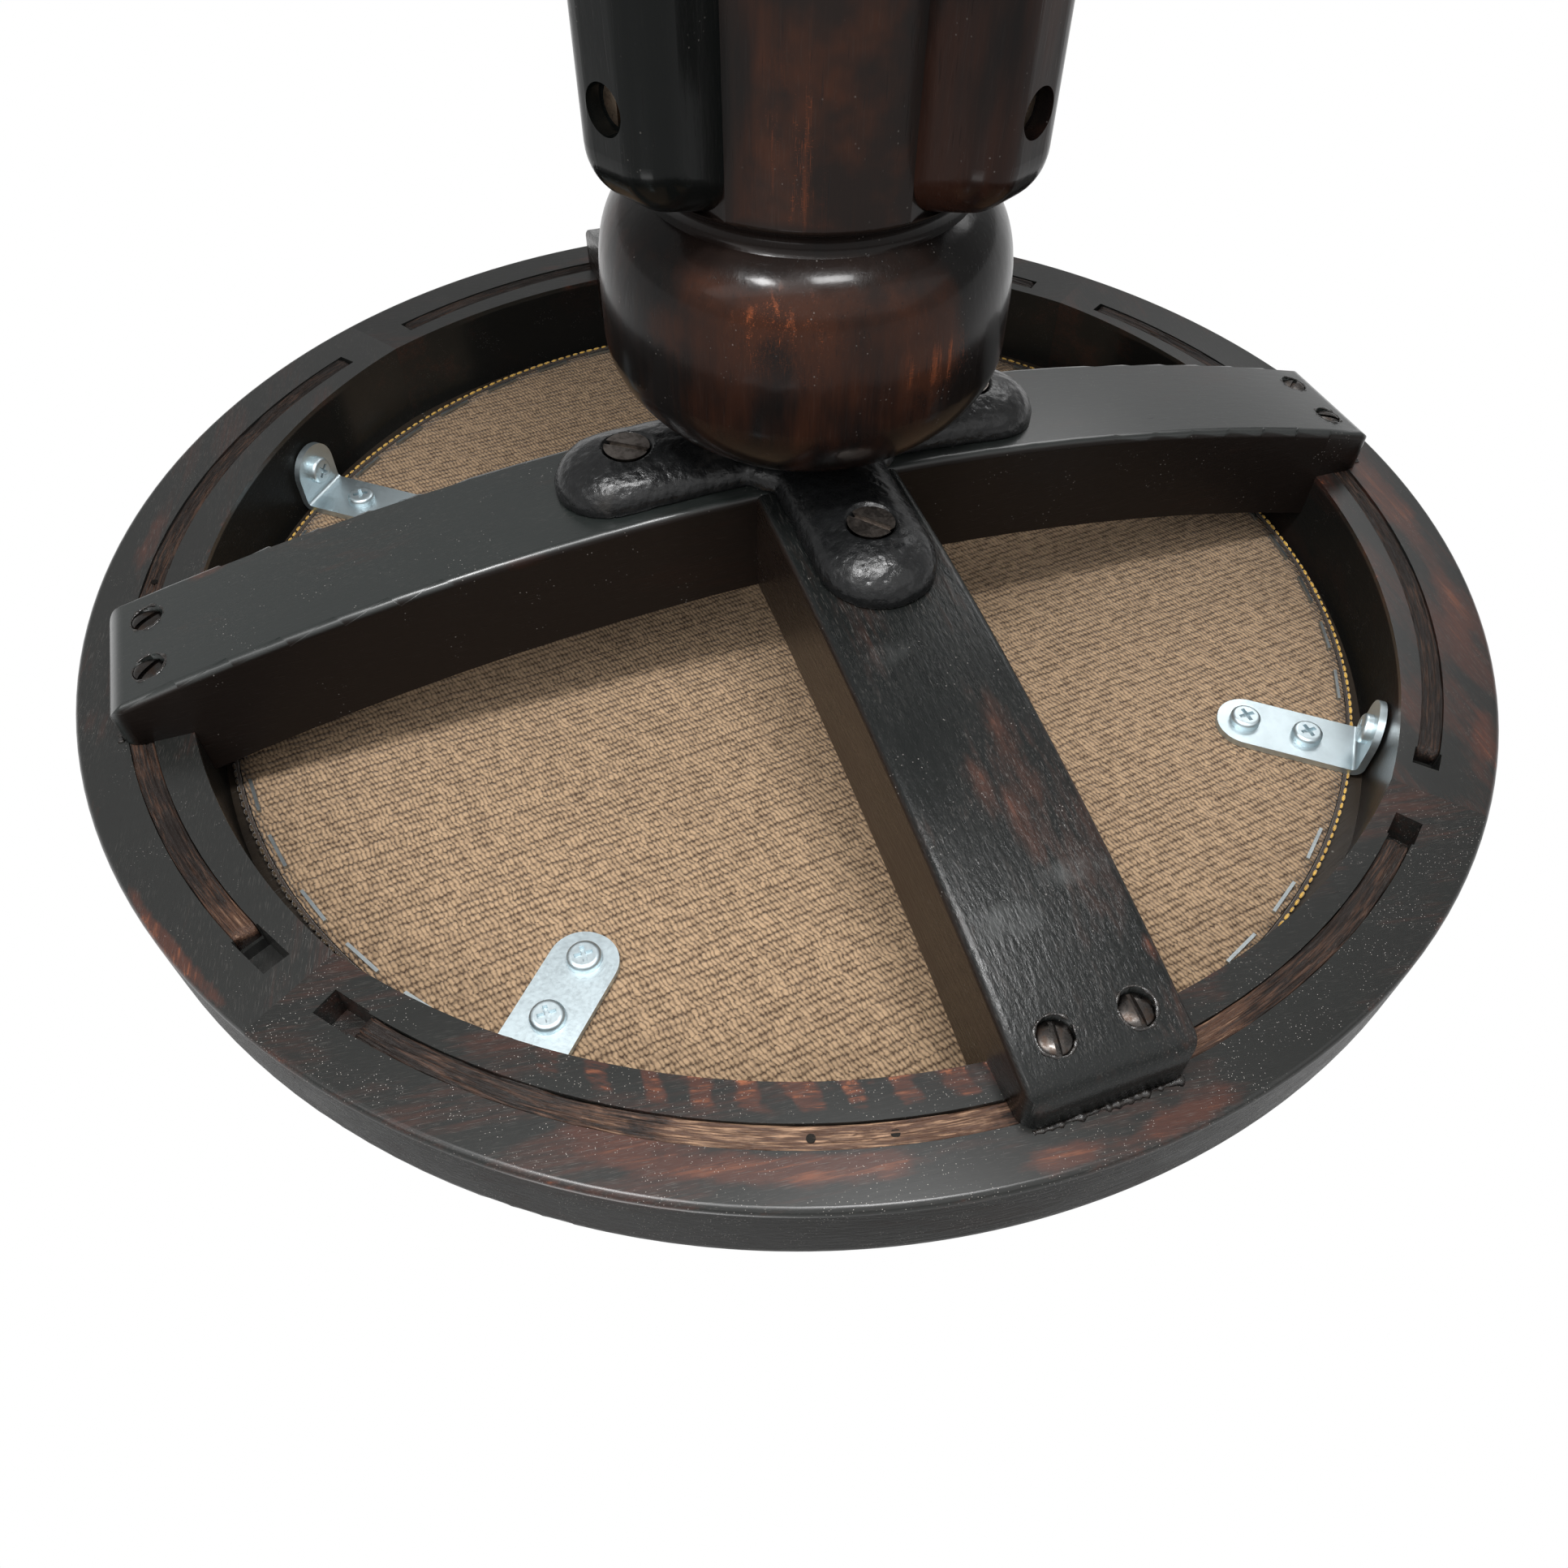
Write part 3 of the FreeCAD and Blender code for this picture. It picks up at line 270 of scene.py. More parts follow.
def vector_calc(operation, first, second=(0.0, 0.0, 0.0)):
    """A Vector Math node; SCALE takes a number as its second value, and LENGTH gives one."""
    made = node(first.tree, "ShaderNodeVectorMath", operation=operation, in_0=first)
    wire(second, made.inputs["Scale" if operation == "SCALE" else 1])
    return out(made, "Value" if operation == "LENGTH" else "Vector")


def spread(value, low, high, out_low=0.0, out_high=1.0, smooth=True):
    """A Map Range node: low becomes out_low and high becomes out_high."""
    return out(node(value.tree, "ShaderNodeMapRange", interpolation_type="SMOOTHSTEP" if smooth else "LINEAR",
                    in_0=value, in_1=low, in_2=high, in_3=out_low, in_4=out_high))


def blend_colour(amount, first, second):
    """A colour Mix node; plain colours are three numbers."""
    made = node(amount.tree, "ShaderNodeMix", data_type="RGBA", in_0=amount)
    for value, socket in ((first, made.inputs[6]), (second, made.inputs[7])):
        wire(value if isinstance(value, Value) else (*value, 1.0), socket)
    return out(made, 2)


def noise_value(vector, scale, detail=3.0, roughness=0.55, distortion=0.0):
    return out(node(vector.tree, "ShaderNodeTexNoise", in_Vector=vector, in_Scale=scale, in_Detail=detail,
                    in_Roughness=roughness, in_Distortion=distortion), "Fac")


def stretch(vector, factors=(1.0, 1.0, 1.0), turn=(0.0, 0.0, 0.0), shift=(0.0, 0.0, 0.0)):
    """A Mapping node: moves, turns and scales a pattern's coordinates."""
    return out(node(vector.tree, "ShaderNodeMapping", in_Vector=vector, in_Location=shift, in_Rotation=turn,
                    in_Scale=factors), "Vector")


def parts_of(vector):
    return [Value(socket) for socket in node(vector.tree, "ShaderNodeSeparateXYZ", in_0=vector).outputs]


def vector_of(x, y, z):
    return out(node(tree_of(x, y, z), "ShaderNodeCombineXYZ", in_0=x, in_1=y, in_2=z))


def new_group(name, inputs, outputs):
    """An empty shader node group with named sockets; returns the tree, its inputs' values and its output."""
    tree = bpy.data.node_groups.new(name, "ShaderNodeTree")
    for socket_name, kind, default in inputs:
        socket = tree.interface.new_socket(socket_name, in_out="INPUT", socket_type=kind)
        if default is not None:
            socket.default_value = default
    for socket_name, kind in outputs:
        tree.interface.new_socket(socket_name, in_out="OUTPUT", socket_type=kind)
    return tree, outputs_of(node(tree, "NodeGroupInput")), node(tree, "NodeGroupOutput")


def place(group, **values):
    """Places a group in the tree of the values that it is given, and returns its outputs by name."""
    made = node(tree_of(*values.values()), "ShaderNodeGroup", node_tree=group)
    connect(made, **values)
    return outputs_of(made)


def new_material(name, **sockets):
    """A material; returns it with its Principled shader and its Object coordinates."""
    material = bpy.data.materials.new(name)
    material.use_nodes = True
    shader = material.node_tree.nodes["Principled BSDF"]
    connect(shader, **sockets)
    return material, shader, out(node(material.node_tree, "ShaderNodeTexCoord"), "Object")


def dent(shader, height, strength, distance):
    """Feeds a height pattern, in its own units of distance, to the shader's Normal."""
    connect(shader, Normal=out(node(height.tree, "ShaderNodeBump", in_Strength=strength, in_Distance=distance,
                                    in_Height=height)))


FLOAT, VECTOR, COLOUR = "NodeSocketFloat", "NodeSocketVector", "NodeSocketColor"

# %% [markdown]
# Wood grain is a noise drawn out along one direction. The group takes coordinates whose X runs along the
# grain, so one group serves a leg, an arm and a curved ring piece, each with its own way of finding X. It
# also gives fine hairlines, the scratches that a polishing rag leaves along the wood.

# %% Grain group


def build_grain_group():
    tree, given, result = new_group(
        "wood_grain",
        [("Vector", VECTOR, None), ("Line Width", FLOAT, 0.6 * MM)],
        [("Streaks", FLOAT), ("Pores", FLOAT), ("Clouds", FLOAT), ("Hairs", FLOAT)])
    scaled = vector_calc("SCALE", given["Vector"], 1.0 / given["Line Width"])
    for name, factors, shift, numbers, low, high in (
            ("Streaks", (0.025, 0.4, 0.4), (0.0, 0.0, 0.0), (5.0, 0.6, 0.2), 0.28, 0.72),
            ("Pores", (0.11, 1.4, 1.4), (3.0, 7.0, 1.0), (2.0,), 0.62, 0.74),
            ("Clouds", (0.012, 0.03, 0.03), (1.0, 2.0, 5.0), (4.0, 0.55, 0.4), 0.28, 0.72),
            ("Hairs", (0.12, 2.6, 2.6), (5.0, 1.0, 2.0), (2.0,), 0.57, 0.7)):
        pattern = noise_value(stretch(scaled, factors, shift=shift), 1.0, *numbers)
        connect(result, **{name: spread(pattern, low, high)})
    return tree


grain_group = build_grain_group()
print("grain group:", len(grain_group.nodes), "nodes")

# %% [markdown]
# The black polish is thin. Hands and a scraper have rubbed it back to red-brown wood in soft clouds, along
# the edges and in a few worn places. The group mixes three colours, black film, stained wood and bare wood,
# by how rubbed a place is. Wide steps keep the clouds soft, and only the bare wood shows streaks.

# %% Ebonised finish group


def build_ebony_group():
    tree, given, result = new_group(
        "worn_black_polish",
        [("Streaks", FLOAT, 0.5), ("Pores", FLOAT, 0.0), ("Clouds", FLOAT, 0.5), ("Rubbed", FLOAT, 0.3),
         ("Streak Share", FLOAT, 0.2), ("Edge Wear", FLOAT, 0.0), ("Worn Place", FLOAT, 0.0),
         ("Film", COLOUR, (0.008, 0.0075, 0.007, 1.0)), ("Stain", COLOUR, (0.035, 0.012, 0.008, 1.0)),
         ("Bare", COLOUR, (0.15, 0.055, 0.026, 1.0))],
        [("Color", COLOUR), ("Roughness", FLOAT), ("Height", FLOAT)])
    streaks, pores, clouds = given["Streaks"], given["Pores"], given["Clouds"]
    edge, worn = given["Edge Wear"], given["Worn Place"]
    patch = out(node(tree, "ShaderNodeMix", data_type="FLOAT", in_0=given["Streak Share"], in_2=clouds,
                     in_3=streaks))
    stained = spread(patch + given["Rubbed"] - 1.0 + edge * 0.45 + worn * 0.9, -0.3, 0.4)
    bare = spread(stained * 0.5 + streaks * 0.45 + edge * 0.4 + worn * 0.22, 0.88, 1.36)
    colour = blend_colour(stained, given["Film"], given["Stain"])
    colour = blend_colour(bare, colour, given["Bare"])
    connect(result, Color=blend_colour(pores * 0.45, colour, (0.004, 0.003, 0.003)),
            Roughness=streaks * 0.06 + bare * 0.2 + clouds * 0.06, Height=streaks * 0.7 - pores)
    return tree


ebony_group = build_ebony_group()
print("polish group:", len(ebony_group.nodes), "nodes")

# %% [markdown]
# Edge wear needs to know how near a point is to an edge. The arms, the ring and the legs are simple shapes,
# so the distance can be worked out from Object coordinates. Noise breaks the line up.

# %% Wear group


def build_wear_group():
    tree, given, result = new_group(
        "edge_wear",
        [("Vector", VECTOR, None), ("Distance", FLOAT, 1.0), ("Width", FLOAT, 1.5 * MM)],
        [("Wear", FLOAT)])
    near = calc("SUBTRACT", 1.0, given["Distance"] / given["Width"], clamp=True)
    chips = spread(noise_value(given["Vector"], 260.0, 5.0, 0.7), 0.48, 0.66)
    connect(result, Wear=near * chips)
    return tree


wear_group = build_wear_group()

# %% [markdown]
# Some worn places are where the stool has been held, dragged or scraped, so they are given one by one. A soft
# place is an ellipsoid with a ragged rim; several in one material are joined by taking the strongest.

# %% Worn place group


def build_place_group():
    tree, given, result = new_group(
        "soft_place",
        [("Vector", VECTOR, None), ("Middle", VECTOR, (0.0, 0.0, 0.0)), ("Reach", VECTOR, (0.01, 0.01, 0.01)),
         ("Strength", FLOAT, 1.0)],
        [("Mask", FLOAT)])
    share = vector_calc("DIVIDE", vector_calc("SUBTRACT", given["Vector"], given["Middle"]), given["Reach"])
    ragged = (noise_value(given["Vector"], 85.0, 5.0, 0.65) - 0.5) * 1.7
    inside = spread(vector_calc("LENGTH", share) + ragged, 1.1, 0.2)
    connect(result, Mask=inside * given["Strength"])
    return tree


place_group = build_place_group()
print("worn place group:", len(place_group.nodes), "nodes")


def worn_places(position, places):
    """The strongest of several soft places, each given by middle, reach (in millimetres) and strength."""
    strongest = None
    for middle, reach, strength in places:
        mask = place(place_group, Vector=position, Middle=Vector(middle) * MM, Reach=Vector(reach) * MM,
                     Strength=strength)["Mask"]
        strongest = mask if strongest is None else calc("MAXIMUM", strongest, mask)
    return strongest


# %% [markdown]
# Fine dust and specks lie on the upward sides of old furniture and in the polish. They are tiny light dots.
# On the ring's front piece they are denser, and there they are partly painted glints.

# %% Speck group


def build_speck_group():
    tree, given, result = new_group(
        "pale_specks", [("Vector", VECTOR, None), ("Color", COLOUR, None), ("Amount", FLOAT, 0.5),
                        ("Fineness", FLOAT, 420.0), ("Share", FLOAT, 0.0)],
        [("Color", COLOUR)])
    cells = node(tree, "ShaderNodeTexVoronoi", in_Vector=given["Vector"], in_Scale=given["Fineness"])
    speck = spread(out(cells, "Distance"), 0.17, 0.07)
    rare = spread(noise_value(given["Vector"], 130.0, 2.0) + given["Share"], 0.56, 0.66)
    connect(result, Color=blend_colour(speck * rare * given["Amount"], given["Color"], (0.3, 0.28, 0.26)))
    return tree


speck_group = build_speck_group()

# %% [markdown]
# All the black woods share one recipe with other numbers. The film of polish is thin, so its own
# reflection is weak: a low specular level keeps the black deep. A clear coat is added where the wood is
# French polished or rubbed to a satin, and a mask can keep it to the faces that hands and rags reach.

# %% Wood recipe


def wood(name, along, rubbed, line_width=0.6 * MM, base_rough=0.3, coat=0.0, specular=0.3, speck_amount=0.4,
         streaky=0.2, scuffs=0.3, ripple=0.0, pitted=0.0, distance=None, wear_width=1.5 * MM, places=None,
         shade=None, shade_colour=(0.007, 0.0068, 0.0062), fineness=420.0, speck_share=0.0, film=None,
         stain=None, bare=None, bump=0.08 * MM, satin=None, coat_rough=0.12, coat_ior=1.25):
    """A worn black wood; along turns and shifts the coordinates so that X runs along the grain."""
    material, shader, position = new_material(name, Coat_Weight=coat, Coat_Roughness=coat_rough,
                                              Coat_IOR=coat_ior, Specular_IOR_Level=specular)
    if satin is not None:
        connect(shader, Coat_Weight=satin(position) * coat)
    lengthwise = along(position)
    grain = place(grain_group, Vector=lengthwise, Line_Width=line_width)
    wear = 0.0
    if distance is not None:
        wear = place(wear_group, Vector=position, Distance=distance(position), Width=wear_width)["Wear"]
    worn = places(position) if places is not None else 0.0
    given = (("Film", film), ("Stain", stain), ("Bare", bare))
    colours = {key: (*colour, 1.0) for key, colour in given if colour}
    finish = place(ebony_group, Streaks=grain["Streaks"], Pores=grain["Pores"], Clouds=grain["Clouds"],
                   Rubbed=rubbed, Streak_Share=streaky, Edge_Wear=wear, Worn_Place=worn, **colours)
    hairs = grain["Hairs"] * (grain["Clouds"] * scuffs)
    colour = blend_colour(hairs, finish["Color"], (0.075, 0.07, 0.064))
    # shade is a mask of painted shade: there the colour is darkened toward shade_colour.
    if shade is not None:
        colour = blend_colour(shade(position), colour, shade_colour)
    speckled = place(speck_group, Vector=position, Color=colour, Amount=speck_amount, Fineness=fineness, Share=speck_share)
    connect(shader, Base_Color=speckled["Color"], Roughness=finish["Roughness"] + hairs * 0.25 + base_rough)
    height = finish["Height"]
    if ripple:
        height = height + noise_value(position, 70.0, 2.0, 0.5) * ripple
    if pitted:
        height = height + noise_value(stretch(lengthwise, (0.35, 1.0, 1.0)), 1100.0, 3.0, 0.65) * pitted
    dent(shader, height, 0.5, bump)
    return material


def turned_by(degrees):
    def along(position):
        return stretch(position, turn=(0.0, 0.0, math.radians(degrees)))
    return along


GROOVE_RADIUS = 165.0 * MM


def polar(position, middle):
    """X of the result runs round the stool at the groove's radius, from a middle angle; Y is the radius."""
    x, y, z = parts_of(position)
    turn = math.radians(-middle)
    forward = x * math.cos(turn) - y * math.sin(turn)
    aside = x * math.sin(turn) + y * math.cos(turn)
    return vector_of(calc("ARCTAN2", aside, forward) * GROOVE_RADIUS, length_of(x, y), z)


# %% [markdown]
# A ring piece is sawn from a straight board, so its grain runs along the chord of the piece and not round
# the ring. Each of the four pieces has its own direction, and so its own material. Worn places are given
# by an angle and a radius. The front piece also has the marks of a blade that juddered along its inner
# edge: slanting bands of bare wood.

# %% Ring materials


RING_INNER_EDGE = 155.3 * MM
BLADE_MARK_PITCH = 10.1 * MM


def ring_edge_distance(position):
    """Distance from the nearer of the ring's two lower edges."""
    x, y, z = parts_of(position)
    radius = length_of(x, y)
    inner = calc("ABSOLUTE", radius - RING_INNER_EDGE)
    outer = calc("ABSOLUTE", radius - RING_RADIUS)
    return calc("MAXIMUM", calc("MINIMUM", inner, outer), z - ring_low.z)


def blade_marks(around):
    """Slanting bands of bare wood on the front piece's inner margin, every ten millimetres."""
    x, y, z = parts_of(around)
    wobble = noise_value(around, 110.0, 3.0)
    bands = calc("SINE", x * (math.tau / BLADE_MARK_PITCH) + y * 260.0 + wobble * 5.0)
    inside = spread(y, 162.2 * MM, 159.6 * MM) * spread(y, 153.5 * MM, 155.0 * MM)
    reach = spread(x, -34.0 * MM, -20.0 * MM) * spread(x, 92.0 * MM, 72.0 * MM)
    marks = spread(bands, -0.4, 0.8) * (inside * reach)
    torn = spread(noise_value(stretch(around, (0.3, 2.4, 1.0)), 420.0, 4.0, 0.6), 0.3, 0.7)
    return marks * (torn * 1.15 + 0.2)


def ring_walls_painted_shade(position):
    """Mask of the ring's inner wall and outer band, whose colour is darkened below the face's: painted shade.
    """
    x, y, z = parts_of(position)
    radius = length_of(x, y)
    inner = spread(radius, RING_INNER_EDGE + 1.9 * MM, RING_INNER_EDGE + 0.9 * MM)
    outer = spread(radius, RING_RADIUS - 1.2 * MM, RING_RADIUS - 0.4 * MM)
    above = spread(z, ring_low.z + 0.9 * MM, ring_low.z + 2.2 * MM)
    return calc("MAXIMUM", inner, outer) * above * 0.85


def ring_satin(position):
    """The rubbed face and its arrises shine; the walls hardly do."""
    return spread(ring_walls_painted_shade(position), 0.0, 0.5, 1.0, 0.02)


def ring_places(side, middle, worn):
    """Worn places given by angle, radius, length, width and strength."""
    def places(position):
        around = polar(position, middle)
        given = [((math.radians(angle - middle + (360 if angle - middle < -180 else 0)) * GROOVE_RADIUS / MM,
                   radius, ring_low.z / MM), (length, width, 9.0), strength)
                 for angle, radius, length, width, strength in worn]
        mask = worn_places(around, given)
        return mask + blade_marks(around) if side == "front" else mask
    return places


RING_PIECES = {
    "front": (-82.0, 0.22, 0.7, [(-68, 172, 34, 4.0, 0.8), (-86, 176, 11, 3.0, 1.0), (-94, 177, 15, 3.0, 0.6),
                                (-60, 169.5, 22, 2.5, 0.5)]),
    "right": (11.0, 0.1, 1.0, [(-25, 178.5, 26, 2.0, 0.8), (-12, 178.5, 14, 1.5, 0.5),
                               (18, 172, 20, 3.0, 0.4)]),
    "back": (100.0, 0.2, 0.8, [(82, 170, 16, 3.0, 0.5)]),
    "left": (187.0, 0.34, 0.85, [(190, 171, 22, 8.0, 0.75), (206, 173, 16, 4.0, 0.7),
                                 (222, 176, 14, 3.0, 0.5), (180, 158, 9, 3.0, 0.6)]),
}
for side, (middle, rubbed, shine, worn) in RING_PIECES.items():
    # The front piece gets denser specks: partly dust and scratches, partly painted glints.
    speckled = dict(speck_amount=0.85, speck_share=0.13) if side == "front" else dict(speck_amount=0.45, speck_share=0.03)
    # The shade mask darkens each piece's inner wall and outer band: painted shade.
    ring_wood = wood(f"ring_wood_{side}", turned_by(90.0 - middle), rubbed, distance=ring_edge_distance,
                     streaky=0.3, specular=0.02, coat=shine, coat_rough=0.3, coat_ior=1.47, satin=ring_satin,
                     base_rough=0.28, film=(0.0086, 0.009, 0.0084), stain=(0.034, 0.0135, 0.0095),
                     bare=(0.15, 0.05, 0.022), places=ring_places(side, middle, worn), scuffs=0.6,
                     fineness=1650.0, line_width=0.4 * MM, shade=ring_walls_painted_shade, pitted=1.5, **speckled)
    paint(ring_wood, f"seat_ring_{side}")
print("ring materials:", len(RING_PIECES))

# %% [markdown]
# The arms are straight, so their grain simply runs along them. Their faces are nearly black and satin, and
# their upright sides are darkened with painted shade. The front arm has a reddish stretch and two clouded
# scuffs, which a second worn-place mask makes pale grey.

# %% Arm materials
ARCH_RADIUS, ARM_HALF_WIDTH = 630.0 * MM, 18.0 * MM


def arm_edge_distance(axis):
    """Distance from the arm's nearer lower arris: how far in from its side, or how far up from its face."""
    def distance(position):
        x, y, z = parts_of(position)
        along, across = (x, y) if axis == "x" else (y, x)
        inward = ARM_HALF_WIDTH - calc("ABSOLUTE", across)
        face = ARM_CROWN + ARCH_RADIUS - calc("SQRT", ARCH_RADIUS ** 2 - along * along)
        return calc("MAXIMUM", inward, z - face)
    return distance


def front_arm_places(position):
    return worn_places(position, [
        ((-8, -98, 382), (4, 22, 9), 0.45), ((-3, -118, 386), (3, 14, 9), 0.45),
        ((1, -108, 384), (3, 12, 9), 0.4), ((-16, -150, 392), (2, 4, 9), 0.7)])


def side_arm_places(position):
    return worn_places(position, [
        ((144, 17, 391), (7, 3, 6), 1.0), ((74, -18, 379), (14, 2, 4), 0.8),
        ((-60, 14, 378), (20, 5, 6), 0.3)])


def cloud_scuffs(material, places):
    """Pale bloom in the polish: lightens the colour and dulls the shine at given places."""
    shader = material.node_tree.nodes["Principled BSDF"]
    position = out(node(material.node_tree, "ShaderNodeTexCoord"), "Object")
    fine = spread(noise_value(stretch(position, (2.0, 0.6, 1.0)), 260.0, 4.0, 0.65), 0.25, 0.75)
    bloom = worn_places(position, places) * (fine * 0.6)
    colour, rough = (Value(shader.inputs[name].links[0].from_socket) for name in ("Base Color", "Roughness"))
    connect(shader, Base_Color=blend_colour(bloom, colour, (0.055, 0.057, 0.056)),
            Roughness=rough + bloom * 0.3)


def arm_sides(axis, inward, outward):
    """One on the faces that look down and nought on the arm's upright sides, or the other way about."""
    def mask(position):
        x, y, z = parts_of(position)
        aside = calc("ABSOLUTE", y if axis == "x" else x)
        return spread(aside, ARM_HALF_WIDTH - 0.9 * MM, ARM_HALF_WIDTH - 0.1 * MM, inward, outward)
    return mask


arm_numbers = dict(wear_width=0.6 * MM, stain=(0.024, 0.0115, 0.0085), bare=(0.1, 0.036, 0.02), streaky=0.35,
                   speck_amount=0.4, fineness=900.0)
# On both arms the shade mask darkens the upright sides toward shade_colour: painted shade.
side_arm = wood("cross_arm_side_wood", turned_by(0.0), 0.08, distance=arm_edge_distance("x"),
                places=side_arm_places, film=(0.0085, 0.0104, 0.0098), scuffs=0.3, pitted=0.4, specular=0.06,
                base_rough=0.27, coat=1.0, coat_rough=0.3, coat_ior=1.5, satin=arm_sides("x", 1.0, 0.1),
                shade=arm_sides("x", 0.0, 0.8), shade_colour=(0.0062, 0.0036, 0.0028), **arm_numbers)
front_arm = wood("cross_arm_front_wood", turned_by(-90.0), 0.18, distance=arm_edge_distance("y"),
                 places=front_arm_places, film=(0.0055, 0.0062, 0.006), scuffs=0.55, pitted=2.4,
                 specular=0.22, base_rough=0.22, shade=arm_sides("y", 0.0, 0.8),
                 shade_colour=(0.0105, 0.0065, 0.0048), **arm_numbers)
cloud_scuffs(front_arm, [((9, -137, 389), (9, 4, 9), 0.8), ((-8, -131, 388), (10, 3, 9), 0.8),
                         ((7, -73, 378), (7, 4, 9), 0.4)])
paint(side_arm, "cross_arm_side_to_side")
paint(front_arm, "cross_arm_front_to_back")
print("arm edges are measured from z", round(ARM_CROWN / MM, 1), "mm at the middle")

# %% [markdown]
# The column and the legs are polished much more than the rest: a clear shellac coat lies over clouds of black
# and red-brown. On the column, painted shade darkens the shaft beside the legs and round the neck, and a
# painted dark reflection clouds the ball's shoulder. The leg on the right of the picture has kept more red
# than the others. A slow ripple in the coat bends the highlights, as brushed shellac does.

# %% Column and leg materials


def upright(position):
    """X of the result runs up the column."""
    x, y, z = parts_of(position)
    return vector_of(z, x, y)


def column_places(position):
    """Rubbed spots, and fine crossed scratches that let the red wood show."""
    spots = worn_places(position, [
        ((20, -37, 317), (9, 9, 8), 0.75), ((15, -34, 295), (6, 6, 16), 0.7),
        ((-12, -43, 330), (10, 8, 6), 0.5), ((38, -22, 326), (8, 8, 6), 0.4)])
    scratched = worn_places(position, [
        ((18, -38, 321), (17, 12, 12), 1.0), ((14, -32, 290), (8, 8, 22), 1.0),
        ((-14, -40, 332), (14, 12, 8), 0.7)])
    level = place(grain_group, Vector=position, Line_Width=0.55 * MM)["Hairs"]
    upward = place(grain_group, Vector=upright(position), Line_Width=0.5 * MM)["Hairs"]
    return spots + calc("MAXIMUM", level, upward) * scratched * 1.2


NECK_HEIGHT = 308.8 * MM
LEG_TURN = math.radians(17.1)


def column_painted_shade(position):
    """Painted shade beside the legs and round the neck, and a painted dark reflection in clouds on the ball's
    shoulder.
    """
    x, y, z = parts_of(position)
    turn = calc("ARCTAN2", y, x) - LEG_TURN
    shaft = spread(z, NECK_HEIGHT - 2.0 * MM, NECK_HEIGHT - 3.0 * MM)
    beside = spread(calc("COSINE", turn * 4.0), 0.25, -0.35) * shaft
    neck = spread(calc("ABSOLUTE", z - NECK_HEIGHT), 7.8 * MM, 3.5 * MM)
    clouds = spread(noise_value(position, 34.0, 4.0, 0.6), 0.38, 0.58)
    shoulder = spread(z, NECK_HEIGHT + 24.2 * MM, NECK_HEIGHT + 4.2 * MM) * clouds
    return calc("MAXIMUM", calc("MAXIMUM", beside, neck), shoulder) * 0.85


polish_numbers = dict(line_width=0.8 * MM, coat=0.3, base_rough=0.17, specular=0.07, speck_amount=0.2, streaky=0.14,
                      scuffs=0.06, ripple=9.0, pitted=1.3, bump=0.04 * MM, fineness=800.0)
column_wood = wood("column_wood", upright, 0.5, film=(0.0042, 0.0034, 0.0032), stain=(0.0235, 0.0085, 0.0046),
                   bare=(0.18, 0.047, 0.016), places=column_places, shade=column_painted_shade,
                   shade_colour=(0.0045, 0.0042, 0.004), **polish_numbers)
dark_leg = wood("dark_leg_wood", upright, 0.1, film=(0.0036, 0.0042, 0.004), stain=(0.016, 0.0062, 0.0045),
                **polish_numbers)
red_leg = wood("red_leg_wood", upright, 0.5, film=(0.0045, 0.0036, 0.0034), stain=(0.0195, 0.0078, 0.005),
               bare=(0.12, 0.038, 0.018), **polish_numbers)
paint(column_wood, "turned_column")
paint(dark_leg, "leg_right", "leg_back", "leg_left")
paint(red_leg, "leg_front")
print("polished materials:", column_wood.name, dark_leg.name, red_leg.name)

# %% [markdown]
# Metals: the spider is cast iron under thick black enamel, whose skin is pitted like orange peel. The old
# screws are dark steel, and the angle brackets are new and zinc plated.

# %% Metal materials


def metal(name, colour, roughness, grime=0.3, grime_colour=(0.02, 0.015, 0.012), scale=300.0):
    material, shader, position = new_material(name, Metallic=1.0)
    spots = spread(noise_value(position, scale, 4.0, 0.65), 0.4, 0.68)
    fine = noise_value(position, scale * 6, 3.0)
    dirt = spots * grime
    connect(shader, Base_Color=blend_colour(dirt, colour, grime_colour),
            Roughness=fine * 0.2 + dirt * 0.3 + (roughness - 0.1))
    dent(shader, fine, 0.4, 0.04 * MM)
    return material


old_screw = metal("old_screw_steel", (0.17, 0.15, 0.135), 0.34, 0.8)
dark_screw = metal("dark_screw_steel", (0.062, 0.058, 0.055), 0.27, 0.7, (0.03, 0.016, 0.009), 420.0)
worn_screw = metal("worn_screw_steel", (0.22, 0.17, 0.125), 0.36, 0.8, (0.04, 0.02, 0.012), 420.0)
black_nail = metal("black_nail", (0.012, 0.011, 0.01), 0.5, 0.4, scale=500.0)
bright_zinc = metal("bright_zinc", (0.54, 0.62, 0.65), 0.42, 0.14, (0.36, 0.41, 0.43), 160.0)
staple_wire = metal("staple_wire", (0.42, 0.46, 0.47), 0.4, 0.3, (0.2, 0.2, 0.19), 200.0)
turned_brass = metal("turned_brass", (0.6, 0.42, 0.17), 0.3, 0.3, (0.2, 0.13, 0.05))
paint(old_screw, "spider_screws", "spindle_nut_plate", "nut_plate_screws", "spindle_washer",
      "spindle_nut", "spindle_end_washer", "spindle_end_screw", "screw_spindle")
paint(black_nail, "strip_nails")
paint(worn_screw, "leg_screws")
paint(bright_zinc, "seat_brackets", "bracket_screws")
paint(staple_wire, "cloth_staples")
paint(turned_brass, "spindle_guide_bush")


